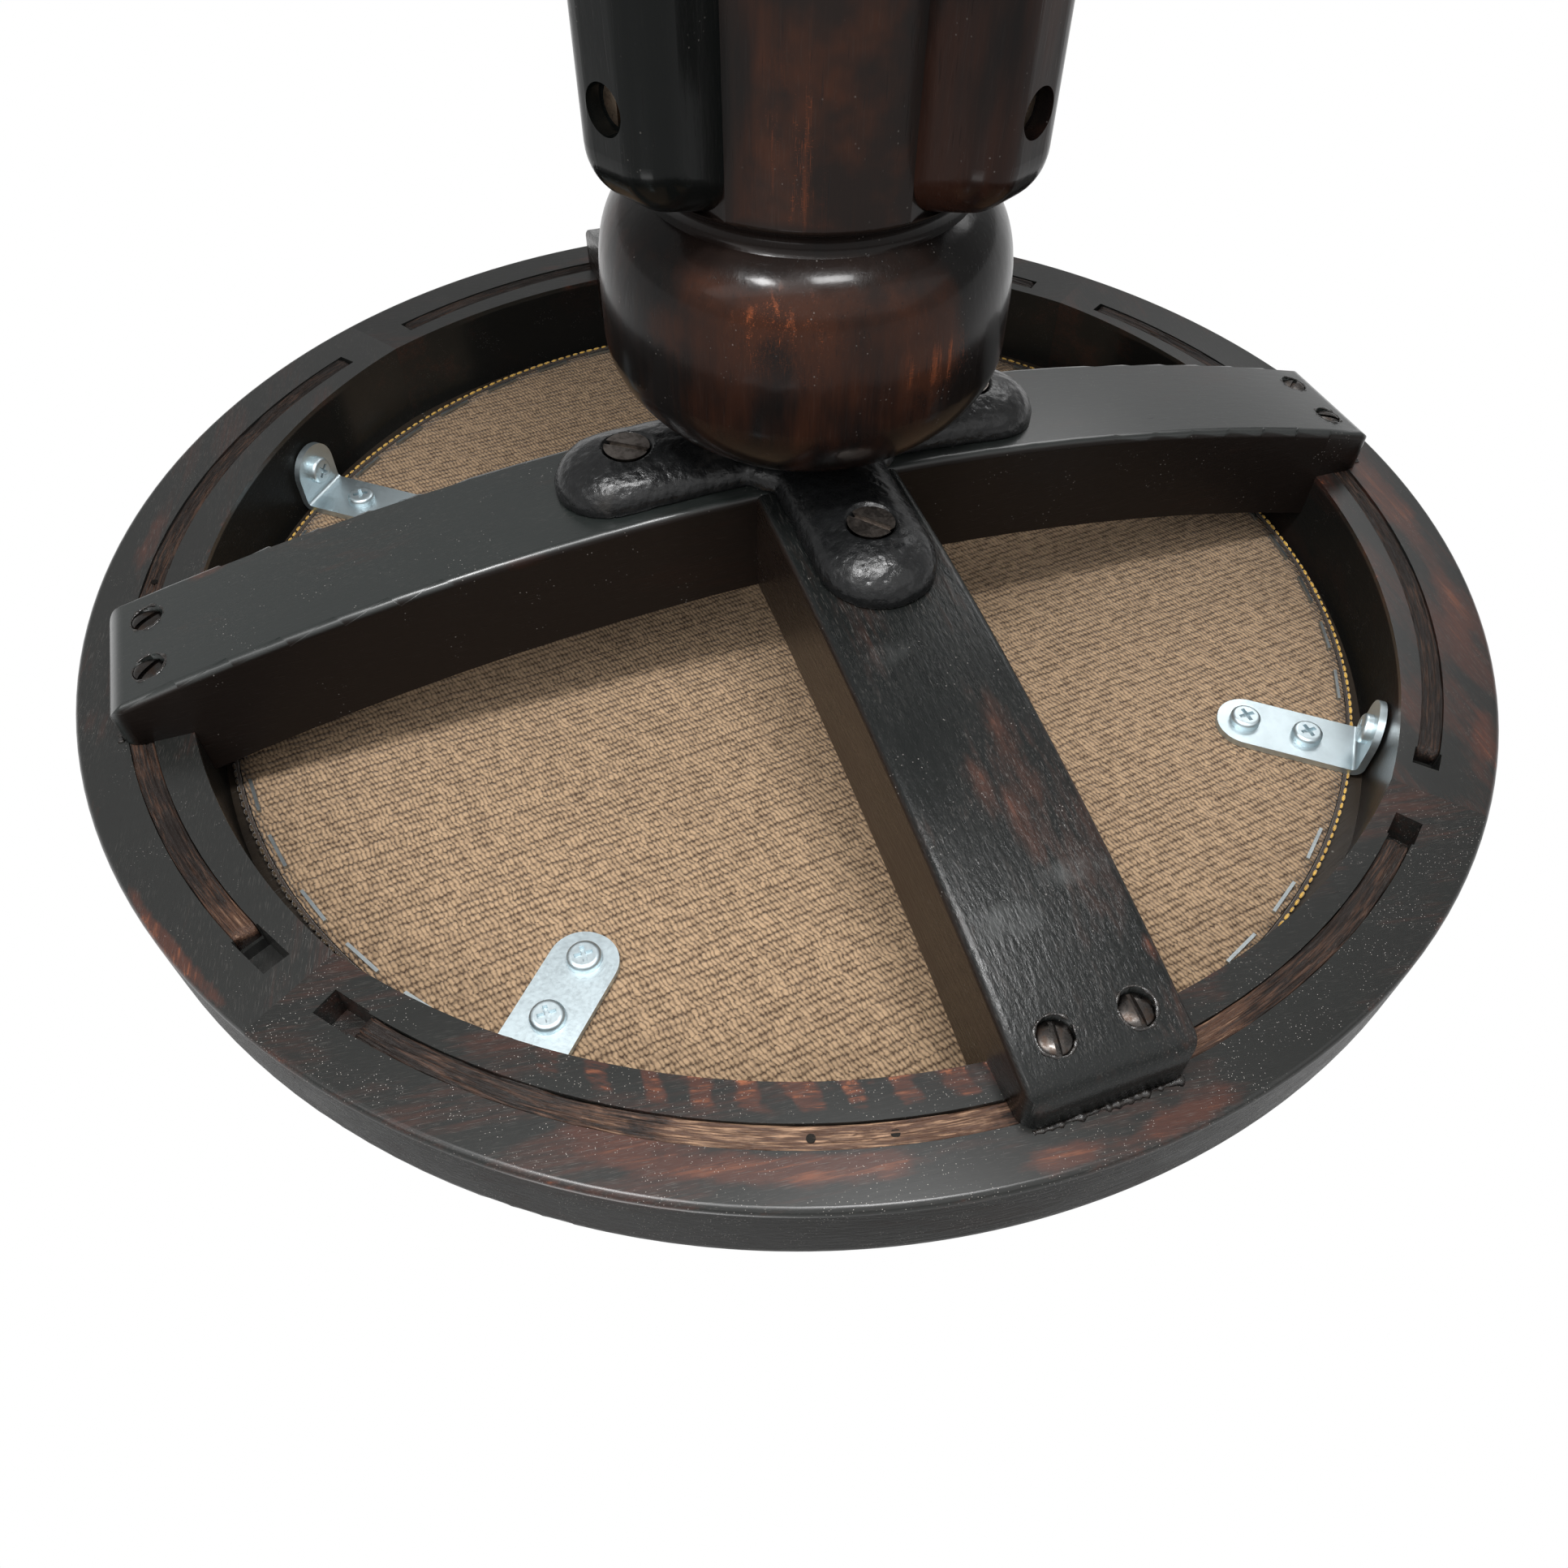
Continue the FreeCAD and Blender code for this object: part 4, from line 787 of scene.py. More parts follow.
def enamel(name):
    """Thick black enamel with an orange-peel skin."""
    material, shader, position = new_material(name, Coat_Weight=0.3, Coat_Roughness=0.15, Coat_IOR=1.25,
                                              Specular_IOR_Level=0.28)
    pits = node(position.tree, "ShaderNodeTexVoronoi", feature="SMOOTH_F1", in_Vector=position,
                in_Scale=520.0)
    lumps = noise_value(position, 330.0, 4.0, 0.6)
    worn = spread(noise_value(position, 90.0, 5.0, 0.7), 0.55, 0.75)
    connect(shader, Base_Color=blend_colour(worn, (0.004, 0.0042, 0.0044), (0.012, 0.011, 0.01)),
            Roughness=spread(lumps, 0.2, 0.8, 0.2, 0.42))
    dent(shader, out(pits, "Distance") * 0.6 + lumps, 0.7, 0.6 * MM)
    return material


casting_enamel = enamel("black_enamel")
paint(casting_enamel, "iron_spider")

# %% [markdown]
# Raw wood shows in the groove strips, the dowels, the tongues and the seat board.

# %% Raw wood materials


def round_ring(position):
    """X of the result runs round the ring, Y across it; the seam falls under an arm."""
    return polar(position, -36.0)


def torn_places(position):
    """The front slip is torn to raw wood along its middle; its ends and the other slips keep more polish."""
    around = polar(position, -70.0)
    torn = ((0, 48, 1.2), (-82, 26, 0.5), (118, 30, 0.5))
    return worn_places(around, [((run, GROOVE_RADIUS / MM, ring_low.z / MM), (reach, 12, 20), strength)
                                for run, reach, strength in torn])


strip_wood = wood("torn_strip_wood", round_ring, 0.3, line_width=0.21 * MM, base_rough=0.42, specular=0.2,
                  speck_amount=0.0, streaky=0.75, scuffs=0.6, film=(0.009, 0.0065, 0.0055),
                  stain=(0.052, 0.026, 0.016), bare=(0.36, 0.225, 0.14), places=torn_places, bump=0.5 * MM)
paint(strip_wood, "groove_strips")


def board_rim_painted_shade(position):
    """Painted shade on the board's rim beyond the cloth, in the narrow gap inside the ring's wall."""
    x, y, z = parts_of(position)
    return spread(length_of(x, y), CLOTH_RADIUS - 5.8 * MM, CLOTH_RADIUS - 2.8 * MM) * 0.95


board_wood = wood("board_wood", turned_by(20.0), 0.8, base_rough=0.4, film=(0.12, 0.07, 0.035),
                  stain=(0.3, 0.19, 0.1), bare=(0.42, 0.29, 0.17), shade=board_rim_painted_shade)
paint(board_wood, "seat_board", "ring_joint_tongues", "leg_dowels")


def glide_plastic():
    """Dull black plastic with the scratches of a floor on it."""
    material, shader, position = new_material("glide_plastic", Specular_IOR_Level=0.4)
    marks = spread(noise_value(stretch(position, (1.0, 5.0, 1.0)), 260.0, 4.0, 0.7), 0.5, 0.68)
    connect(shader, Base_Color=blend_colour(marks, (0.022, 0.022, 0.022), (0.07, 0.066, 0.06)),
            Roughness=spread(marks, 0.0, 1.0, 0.38, 0.6))
    dent(shader, marks, 0.5, 0.1 * MM)
    return material


paint(glide_plastic(), "foot_glides")
print(len(bpy.data.materials), "materials so far")

# %% [markdown]
# The cloth is a coarse ribbed tweed: rows of short slanting nubs, each nub a bump of thick yarn between dark
# gaps, with every second row moved on by half a nub. Counting rows and nubs with Floor gives each nub its own
# random tone, and the fraction that is left over gives its rounded shape. That shape sets the colour as well
# as the bumps, so the gaps and holes are darkened with painted shade. Noise bends the rows and darkens the
# yarn in small flecks, because the wool was spun unevenly.

# %% Tweed group


def build_tweed_group():
    tree, given, result = new_group(
        "tweed_weave",
        [("Vector", VECTOR, None), ("Nub Length", FLOAT, 1.06 * MM), ("Row Height", FLOAT, 2.0 * MM),
         ("Slant", FLOAT, -0.34)],
        [("Tone", FLOAT), ("Height", FLOAT), ("Fleck", FLOAT)])
    flat = bent = given["Vector"]
    for scale, reach in ((150.0, 1.3 * MM), (520.0, 1.1 * MM)):
        wobble = node(tree, "ShaderNodeTexNoise", in_Vector=flat, in_Scale=scale, in_Detail=2.0)
        centred = vector_calc("SUBTRACT", out(wobble, "Color"), (0.5, 0.5, 0.5))
        bent = vector_calc("ADD", bent, vector_calc("SCALE", centred, reach))
    x, y, z = parts_of(bent)
    rows = y / given["Row Height"]
    row, in_row = calc("FLOOR", rows), calc("FRACT", rows)
    row_random = out(node(tree, "ShaderNodeTexWhiteNoise", noise_dimensions="1D", in_W=row), "Value")
    nubs = x / given["Nub Length"] + row * 0.5 + row_random * 0.35 + (in_row - 0.5) * given["Slant"]
    nub, in_nub = calc("FLOOR", nubs), calc("FRACT", nubs)
    chance = out(node(tree, "ShaderNodeTexWhiteNoise", noise_dimensions="2D",
                      in_Vector=vector_of(nub, row, 0.0)), "Value")
    between_nubs = 1.0 - calc("POWER", calc("SINE", in_nub * math.pi), 0.9)
    between_rows = 1.0 - calc("POWER", calc("SINE", in_row * math.pi), 0.9)
    hole = spread(chance, 0.45, 0.95) * (between_nubs * between_rows)
    slit = spread(noise_value(stretch(flat, (0.55, 1.0, 1.0)), 430.0, 2.0), 0.36, 0.62)
    body = 1.0 - between_rows * spread(slit, 0.0, 1.0, 0.22, 0.8) - between_nubs * 0.62
    body = calc("SUBTRACT", body, hole, clamp=True) * spread(chance, 0.0, 1.0, 1.05, 0.6, smooth=False)
    fibre = noise_value(stretch(flat, (0.6, 1.0, 1.0), turn=(0.0, 0.0, 0.7)), 1700.0, 2.0)
    patch = noise_value(stretch(flat, (0.8, 2.0, 1.0)), 300.0, 4.0, 0.7)
    connect(result, Height=body + fibre * 0.35, Tone=body * 0.78 + fibre * 0.55,
            Fleck=spread(patch - chance * 0.12, 0.44, 0.6))
    return tree


tweed_group = build_tweed_group()
print("tweed group:", len(tweed_group.nodes), "nodes")

# %% [markdown]
# Both the underside cloth and the seat's cover are this tweed. On the flat underside Object coordinates
# serve, turned so that the rows run as they do in the photograph. The cover goes over a dome, so it reads
# an attribute that says where each point of the dome lies on the flat cloth.

# %% Tweed materials


def tweed(name, turn=0.0, attribute=None):
    material, shader, position = new_material(name, Roughness=0.95, Sheen_Weight=0.08, Sheen_Roughness=0.5,
                                              Specular_IOR_Level=0.15)
    if attribute:
        position = out(node(material.node_tree, "ShaderNodeAttribute", attribute_name=attribute), "Vector")
    weave = place(tweed_group, Vector=stretch(position, turn=(0.0, 0.0, math.radians(turn))))
    # The dark end of this tone is partly painted shade in the gaps between the nubs.
    tone = spread(weave["Tone"], 0.22, 0.9, smooth=False)
    colour = blend_colour(tone, (0.043, 0.026, 0.016), (0.315, 0.216, 0.132))
    connect(shader, Base_Color=blend_colour(weave["Fleck"] * 0.32, colour, (0.10, 0.066, 0.044)))
    dent(shader, weave["Height"], 0.8, 0.6 * MM)
    return material


under_tweed = tweed("underside_tweed", 6.0)
seat_tweed = tweed("seat_tweed", 0.0, "weave_lie")
print("tweed materials:", under_tweed.name, seat_tweed.name)

# %% [markdown]
# The underside cloth is stretched flat under the seat board. It is made as a fine round grid, given a slight
# waviness, and thickened.

# %% Underside cloth


def disc_grid(name, radius, rings, spokes, height):
    """A round grid of points with a fan at its middle."""
    points = [(0.0, 0.0, height(0.0, 0.0))]
    for ring in range(1, rings + 1):
        for step in range(spokes):
            x, y = on_circle(radius * ring / rings, math.tau * step / spokes)
            points.append((x, y, height(x, y)))
    faces = [(0, 1 + step, 1 + (step + 1) % spokes) for step in range(spokes)]
    for ring in range(rings - 1):
        base = 1 + ring * spokes
        for step in range(spokes):
            beside = (step + 1) % spokes
            faces.append((base + step, base + spokes + step, base + spokes + beside, base + beside))
    return new_object(name, points, faces)


def cloth_height(x, y):
    wave = noise.noise(Vector((x * 22.0, y * 22.0, 4.0))) * 0.15 * MM
    return cloth_low.z + 0.25 * MM + wave


underside_cloth = disc_grid("underside_cloth_tweed", CLOTH_RADIUS, 40, 128, cloth_height)
add_modifier(underside_cloth, "SOLIDIFY", thickness=0.7 * MM, offset=1.0)
settle(underside_cloth)
fit_piece(underside_cloth, "seat", "underside_fabric", under_tweed, "underside_cloth")

# %% [markdown]
# Thread is a fine twist with a soft shine. Its stripes are so small that they are only a change of tone. On
# one side of the seat the gold thread is darkened nearly to black: painted shade.

# %% Thread materials


def thread(name, dark, pale, roughness, shaded_side=False):
    material, shader, position = new_material(name, Roughness=roughness, Sheen_Weight=0.3,
                                              Sheen_Roughness=0.4)
    twist = out(node(material.node_tree, "ShaderNodeTexWave", in_Vector=position, in_Scale=900.0,
                     in_Distortion=3.0, in_Detail=1.0), "Fac")
    tone = twist * 0.4 + noise_value(position, 400.0, 2.0) * 0.7
    colour = blend_colour(spread(tone, 0.2, 0.9), dark, pale)
    if shaded_side:
        # Painted shade: the thread is darkened nearly to black on one side of the seat.
        x, y, z = parts_of(position)
        shaded = spread(x - y, 100.0 * MM, 140.0 * MM, 0.0, 0.96)
        colour = blend_colour(shaded, colour, (0.022, 0.014, 0.009))
    connect(shader, Base_Color=colour)
    dent(shader, twist, 0.5, 0.2 * MM)
    return material


gold_thread = thread("gold_thread", (0.26, 0.13, 0.018), (0.72, 0.45, 0.08), 0.45, shaded_side=True)
dark_hem = thread("dark_hem", (0.012, 0.008, 0.006), (0.05, 0.032, 0.02), 0.8)
brown_braid = thread("brown_braid", (0.12, 0.075, 0.04), (0.42, 0.29, 0.16), 0.7)

# %% [markdown]
# Stitches that follow a circle are a natural job for Geometry Nodes. The tree below takes a circle, turns
# it into evenly spaced points, and puts one small bead of thread on each, turned along the circle. A
# second output of the same circle is a round cord. The number, size, slant and height of the beads are
# inputs, so one tree makes both the gold stitches of the cloth and the braid of the seat.

# %% Stitch tree


def new_geometry_tree(name, inputs):
    """An empty Geometry Nodes tree; returns it with its inputs' values and their identifiers."""
    tree = bpy.data.node_groups.new(name, "GeometryNodeTree")
    sockets = {}
    for socket_name, kind in inputs.items():
        made = tree.interface.new_socket(socket_name, in_out="INPUT", socket_type=kind)
        sockets[socket_name] = made.identifier
    tree.interface.new_socket("Geometry", in_out="OUTPUT", socket_type="NodeSocketGeometry")
    return tree, outputs_of(node(tree, "NodeGroupInput")), sockets


def build_stitch_tree():
    sizes = ("Radius", "Height", "Length", "Width", "Depth", "Slant", "Unevenness", "Cord Radius",
             "Cord Height", "Cord Ring")
    tree, given, sockets = new_geometry_tree("stitches_on_a_circle", {
        **{name: FLOAT for name in sizes}, "Count": "NodeSocketInt", "Bead Material": "NodeSocketMaterial",
        "Cord Material": "NodeSocketMaterial"})

    def circle(radius, steps):
        return out(node(tree, "GeometryNodeCurvePrimitiveCircle", mode="RADIUS", in_Radius=radius,
                        in_Resolution=steps), "Curve")

    def moved(geometry, **settings):
        return out(node(tree, "GeometryNodeTransform", in_Geometry=geometry, **settings), "Geometry")

    def finished(geometry, material):
        return out(node(tree, "GeometryNodeSetMaterial", in_Geometry=geometry, in_Material=material),
                   "Geometry")

    points = node(tree, "GeometryNodeCurveToPoints", mode="COUNT", in_Curve=circle(given["Radius"], 512),
                  in_Count=given["Count"])
    aligned = node(tree, "FunctionNodeAlignRotationToVector", axis="X", pivot_axis="Z",
                   in_Vector=out(points, "Tangent"))
    ball = out(node(tree, "GeometryNodeMeshUVSphere", in_Segments=8, in_Rings=5, in_Radius=0.5), "Mesh")
    bead = moved(ball, in_Scale=vector_of(given["Length"], given["Depth"], given["Width"]))
    bead = moved(bead, in_Rotation=vector_of(0.0, given["Slant"], 0.0))
    uneven = node(tree, "FunctionNodeRandomValue", data_type="FLOAT", in_2=1.0 - given["Unevenness"],
                  in_3=1.0 + given["Unevenness"], in_Seed=7)
    beads = node(tree, "GeometryNodeInstanceOnPoints", in_Points=out(points, "Points"), in_Instance=bead,
                 in_Rotation=out(aligned, "Rotation"), in_Scale=out(uneven, 1))
    lifted = moved(out(beads, "Instances"), in_Translation=vector_of(0.0, 0.0, given["Height"]))
    plain = out(node(tree, "GeometryNodeRealizeInstances", in_Geometry=lifted), "Geometry")
    cord = out(node(tree, "GeometryNodeCurveToMesh", in_Curve=circle(given["Cord Ring"], 256),
                    in_Profile_Curve=circle(given["Cord Radius"], 8)), "Mesh")
    cord = moved(cord, in_Translation=vector_of(0.0, 0.0, given["Cord Height"]))

    both = node(tree, "GeometryNodeJoinGeometry")
    for part in (finished(cord, given["Cord Material"]), finished(plain, given["Bead Material"])):
        wire(part, both.inputs["Geometry"])
    smooth = node(tree, "GeometryNodeSetShadeSmooth", in_Geometry=out(both, "Geometry"))
    node(tree, "NodeGroupOutput", in_Geometry=out(smooth, "Geometry"))
    return tree, sockets


stitch_tree, stitch_sockets = build_stitch_tree()


def run_tree(made, tree, sockets, **values):
    """Runs a Geometry Nodes tree on an object and keeps the plain mesh that it gives."""
    modifier = made.modifiers.new("tree", "NODES")
    modifier.node_group = tree
    for key, value in values.items():
        modifier[sockets[key.replace("_", " ")]] = value
    return settle(made)


def sewn(name, **values):
    return run_tree(new_object(name, [], []), stitch_tree, stitch_sockets, **values)


def joined_pieces(name, parts):
    """Joins plain-mesh objects, with their materials, into one."""
    for other in bpy.context.selected_objects:
        other.select_set(False)
    for part in parts:
        part.select_set(True)
    bpy.context.view_layer.objects.active = parts[0]
    bpy.ops.object.join()
    parts[0].name = name
    parts[0].select_set(False)
    return parts[0]


# %% [markdown]
# The cloth's rim is turned in and sewn over with gold thread, one short stitch after another. The stitches
# sit on a thin rolled hem.

# %% Cloth edging
edging_radius = edging_high.x - 0.65 * MM
STITCH_PITCH = 2.7 * MM
stitch_count = round(math.tau * edging_radius / STITCH_PITCH)
edging = sewn("cloth_edging_stitches", Radius=edging_radius, Height=edging_low.z + 0.4 * MM,
              Count=stitch_count, Length=2.35 * MM, Width=0.75 * MM, Depth=0.85 * MM, Unevenness=0.15,
              Cord_Radius=0.45 * MM, Cord_Height=edging_low.z + 0.95 * MM,
              Cord_Ring=edging_radius - 0.55 * MM, Bead_Material=gold_thread, Cord_Material=dark_hem)
print(stitch_count, "gold stitches of", STITCH_PITCH / MM, "mm")
fit_piece(edging, "seat", "gold_trim", None, "cloth_edging")

# %% [markdown]
# Where the cover meets the ring a flat braid hides its tacks: two rows of slanting strands between three
# fine cords. Each row is the same tree with the opposite slant.

# %% Seat gimp
gimp_middle = (gimp_low.z + gimp_high.z) / 2
gimp_radius = gimp_high.x - 0.9 * MM
strand_count = round(math.tau * gimp_radius / (2.5 * MM))
rows = []
for height, slant, cord_height in ((-1.9, 0.7, -3.5), (1.9, -0.7, 3.5), (0.0, 0.0, 0.0)):
    rows.append(sewn(
        "gimp_row", Radius=gimp_radius, Height=gimp_middle + height * MM, Count=strand_count,
        Length=(3.9 if slant else 1.9) * MM, Width=(1.35 if slant else 0.9) * MM, Depth=1.3 * MM,
        Slant=slant, Unevenness=0.06, Cord_Radius=0.5 * MM, Cord_Height=gimp_middle + cord_height * MM,
        Cord_Ring=gimp_radius, Bead_Material=brown_braid, Cord_Material=brown_braid))
gimp = joined_pieces("seat_gimp_braid", rows)
fit_piece(gimp, "seat", "gold_trim", None, "seat_gimp")

# %% [markdown]
# The seat pad is a firm dome of stuffing under stretched tweed. A closed form is remeshed evenly, blown up
# a little by the cloth solver so that it looks filled and not turned on a lathe, and held at its foot.
# Wrinkles where the cover is pulled down over the edge are added after the simulation.

# %% Seat pad


def revolve(name, profile, spokes=96):
    """A closed solid of revolution; the profile starts and ends on the axis."""
    points = [(0.0, 0.0, profile[0][1])]
    for r, z in profile[1:-1]:
        points += [(*on_circle(r, math.tau * step / spokes), z) for step in range(spokes)]
    points.append((0.0, 0.0, profile[-1][1]))
    rings = len(profile) - 2
    last = len(points) - 1
    faces = [(0, 1 + (step + 1) % spokes, 1 + step) for step in range(spokes)]
    for ring in range(rings - 1):
        base = 1 + ring * spokes
        for step in range(spokes):
            beside = (step + 1) % spokes
            faces.append((base + step, base + beside, base + spokes + beside, base + spokes + step))
    base = 1 + (rings - 1) * spokes
    faces += [(base + step, base + (step + 1) % spokes, last) for step in range(spokes)]
    return new_object(name, points, faces)


PAD_FOOT = board_high.z + 0.2 * MM
PAD_CROWN = cover_high.z - 1.6 * MM
PAD_SIDE = BOARD_RADIUS + 0.4 * MM
PAD_BULGE = cover_high.x - 1.6 * MM
PAD_SHOULDER = (cover_high.x - 10.6 * MM, cover_high.z - 17.5 * MM)
PAD_EDGE = 145.0 * MM


def arc_through(first, middle, last, steps):
    """Points of the circle through three points, without the first of them."""
    (ax, ay), (bx, by), (cx, cy) = first, middle, last
    a2, b2, c2 = ax * ax + ay * ay, bx * bx + by * by, cx * cx + cy * cy
    twice = 2 * (ax * (by - cy) + bx * (cy - ay) + cx * (ay - by))
    ux = (a2 * (by - cy) + b2 * (cy - ay) + c2 * (ay - by)) / twice
    uy = (a2 * (cx - bx) + b2 * (ax - cx) + c2 * (bx - ax)) / twice
    radius = math.hypot(ax - ux, ay - uy)
    start, stop = math.atan2(ay - uy, ax - ux), math.atan2(cy - uy, cx - ux)
    turns = [start + (stop - start) * step / steps for step in range(1, steps + 1)]
    return [(ux + radius * math.cos(turn), uy + radius * math.sin(turn)) for turn in turns]


def pad_profile():
    """From the middle of the foot, out and up the bulging side, over the shoulder and up the shallow dome."""
    foot = (PAD_SIDE, PAD_FOOT)
    profile = [(0.0, PAD_FOOT), foot] + arc_through(foot, (PAD_BULGE, PAD_FOOT + 10.8 * MM), PAD_SHOULDER, 8)
    rise = PAD_CROWN - PAD_SHOULDER[1]
    sphere = (PAD_SHOULDER[0] ** 2 + rise ** 2) / (2 * rise)
    for step in range(1, 12):
        r = PAD_SHOULDER[0] * (1 - step / 12)
        profile.append((r, PAD_CROWN - sphere + math.sqrt(sphere ** 2 - r ** 2)))
    return profile + [(0.0, PAD_CROWN)]


def simulate_pad(made, cap):
    """Fills the pad with cloth pressure and keeps every point within cap of its start."""
    before = points_of(made)
    held = made.vertex_groups.new(name="held")
    held.add([v.index for v in made.data.vertices if v.co.z < PAD_FOOT + 3.0 * MM], 1.0, "REPLACE")
    cloth = add_modifier(made, "CLOTH")
    settings = cloth.settings
    settings.vertex_group_mass = held.name
    settings.use_pressure = True
    settings.uniform_pressure_force = 4.0
    settings.effector_weights.gravity = 0.0
    settings.quality = 5
    cloth.collision_settings.use_collision = False
    cloth.point_cache.frame_start = 1
    cloth.point_cache.frame_end = 20
    for frame_number in range(1, 21):
        bpy.context.scene.frame_set(frame_number)
    settle(made)
    bpy.context.scene.frame_set(1)
    move = points_of(made) - before
    length = np.linalg.norm(move, axis=1, keepdims=True)
    move *= np.minimum(1.0, cap / np.maximum(length, 1e-9))
    move_points(made, before + move)
    print("pad swelled by up to", round(float(length.max()) / MM, 1), "mm, kept within", cap / MM)


pad = revolve("seat_pad_tweed", pad_profile())
add_modifier(pad, "REMESH", mode="VOXEL", voxel_size=5.0 * MM, use_smooth_shade=True)
settle(pad)
simulate_pad(pad, 2.4 * MM)
add_modifier(pad, "SUBSURF", levels=1, render_levels=1)
settle(pad)


def pull_down(made):
    """Wrinkles of the tightened cover near its foot, and the bounds that the frame leaves."""
    coordinates = points_of(made)
    for index, (x, y, z) in enumerate(coordinates):
        r = math.hypot(x, y)
        if r < 1.0 * MM or z < PAD_FOOT + 0.5 * MM:
            continue
        angle = math.atan2(y, x)
        side = min(1.0, max(0.0, (r - PAD_EDGE) / (20.0 * MM)))
        fold = (math.sin(angle * 61.0 + 2.0 * noise.noise(Vector((x * 9.0, y * 9.0, 1.0))))
                * noise.noise(Vector((math.cos(angle) * 6.0, math.sin(angle) * 6.0, z * 30.0))))
        lump = noise.noise(Vector((x * 16.0, y * 16.0, 2.0)))
        r_new = min(r + side * 0.9 * MM * fold, cover_high.x)
        z_new = min(z + (1.0 - side) * 0.5 * MM * lump, cover_high.z - 0.3 * MM)
        coordinates[index] = (x * r_new / r, y * r_new / r, z_new)
    move_points(made, coordinates)


pull_down(pad)
skirt_low, skirt_high = gimp_low.z + 0.2 * MM, PAD_FOOT + 2.0 * MM
skirt_inner, skirt_outer = BOARD_RADIUS + 0.1 * MM, BOARD_RADIUS + 1.2 * MM
SKIRT_SPOKES = 192
section = [(skirt_inner, skirt_low), (skirt_outer, skirt_low), (skirt_outer, skirt_high),
           (skirt_inner, skirt_high)]
skirt = new_object("skirt", [(*on_circle(r, math.tau * step / SKIRT_SPOKES), z)
                             for step in range(SKIRT_SPOKES) for r, z in section],
                   grid_faces(SKIRT_SPOKES, 4, True, True))
finish_normals(skirt)
pad = joined_pieces("seat_pad_tweed", [pad, skirt])


def lay_flat(made):
    """Notes on each point where it lay on the flat cloth: out along the dome, then down the side."""
    flat = []
    for x, y, z in points_of(made):
        r = math.hypot(x, y)
        along = r + max(0.0, PAD_SHOULDER[1] - 0.5 * MM - z) if r > 120.0 * MM else r
        flat += [x / max(r, MM) * along, y / max(r, MM) * along, 0.0]
    made.data.attributes.new("weave_lie", "FLOAT_VECTOR", "POINT").data.foreach_set("vector", flat)


lay_flat(pad)
fit_piece(pad, "seat", "seat_fabric", seat_tweed, "seat_cover", "seat_stuffing")

# %% [markdown]
# The spindle's thread is one long helix. Its surface is a grid of heights and angles: at each point the
# radius follows the thread's profile, and the profile climbs by one pitch for each full turn.

# %% Screw spindle
PITCH, THREAD_DEPTH, SPINDLE_RADIUS = 6.0 * MM, 1.6 * MM, 11.0 * MM
TIP_RADIUS, SQUARE_HALF, END_RADIUS = 6.0 * MM, 7.0 * MM, 7.0 * MM
thread_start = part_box("spindle_guide_bush")[1].z


def thread_radius(angle, z):
    """Trapezoidal thread with rounded flanks, running out at both ends."""
    share = ((z - PITCH * angle / math.tau) / PITCH) % 1.0
    flank = abs(share - 0.5) * 2.0
    crest = min(1.0, max(0.0, (0.68 - flank) / 0.36))
    crest = crest * crest * (3 - 2 * crest)
    fade = min(1.0, max(0.0, (CASTING_FACE - 2.5 * MM - z) / (1.5 * MM)))
    return SPINDLE_RADIUS - THREAD_DEPTH * (1.0 - crest) * fade


def make_spindle():
    around = 40
    levels = [(spindle_low.z, "tip"), (thread_start, "tip")]
    z = thread_start
    while z < CASTING_FACE - 0.01 * MM:
        levels.append((z, "thread"))
        z += 0.42 * MM
    levels += [(CASTING_FACE, "thread"), (CASTING_FACE, "square"), (ARM_CROWN, "square"), (ARM_CROWN, "end"),
               (spindle_high.z - 0.8 * MM, "end"), (spindle_high.z, "chamfer")]
    points = []
    for z, kind in levels:
        for step in range(around):
            angle = math.tau * step / around
            if kind == "tip":
                r = TIP_RADIUS
            elif kind == "thread":
                r = thread_radius(angle, z)
            elif kind == "square":
                r = SQUARE_HALF / max(abs(math.cos(angle)), abs(math.sin(angle)))
            else:
                r = END_RADIUS - (0.8 * MM if kind == "chamfer" else 0.0)
            points.append((*on_circle(r, angle), z))
    faces = grid_faces(len(levels), around, False, True)
    faces += [tuple(reversed(range(around))), tuple(range(len(points) - around, len(points)))]
    return finish_normals(new_object("screw_spindle_thread", points, faces))


spindle = make_spindle()
fit_piece(spindle, "seat", "dark_steel", old_screw, "screw_spindle")

# %% [markdown]
# The iron spider is a casting: four round-backed lobes that swell out of the hub, with the pits and lumps of
# sand and thick enamel. Each pair of lobes is a capsule whose back rises from its rim like a loaf. The two
# capsules and the hub are melted together by a voxel remesh, smoothed, pitted, and bored for the screws.

# %% Iron spider
LOBE_HALF, LOBE_REACH, HUB_RADIUS, DOME_REACH = 14.0 * MM, 62.0 * MM, 24.0 * MM, 13.0 * MM
SCREW_REACH, DROOP_START = 44.0 * MM, 30.0 * MM


def arch_level(distance):
    """Height of the arms' lower face at a distance from the axis."""
    return ARM_CROWN + ARCH_RADIUS - math.sqrt(ARCH_RADIUS ** 2 - distance ** 2)


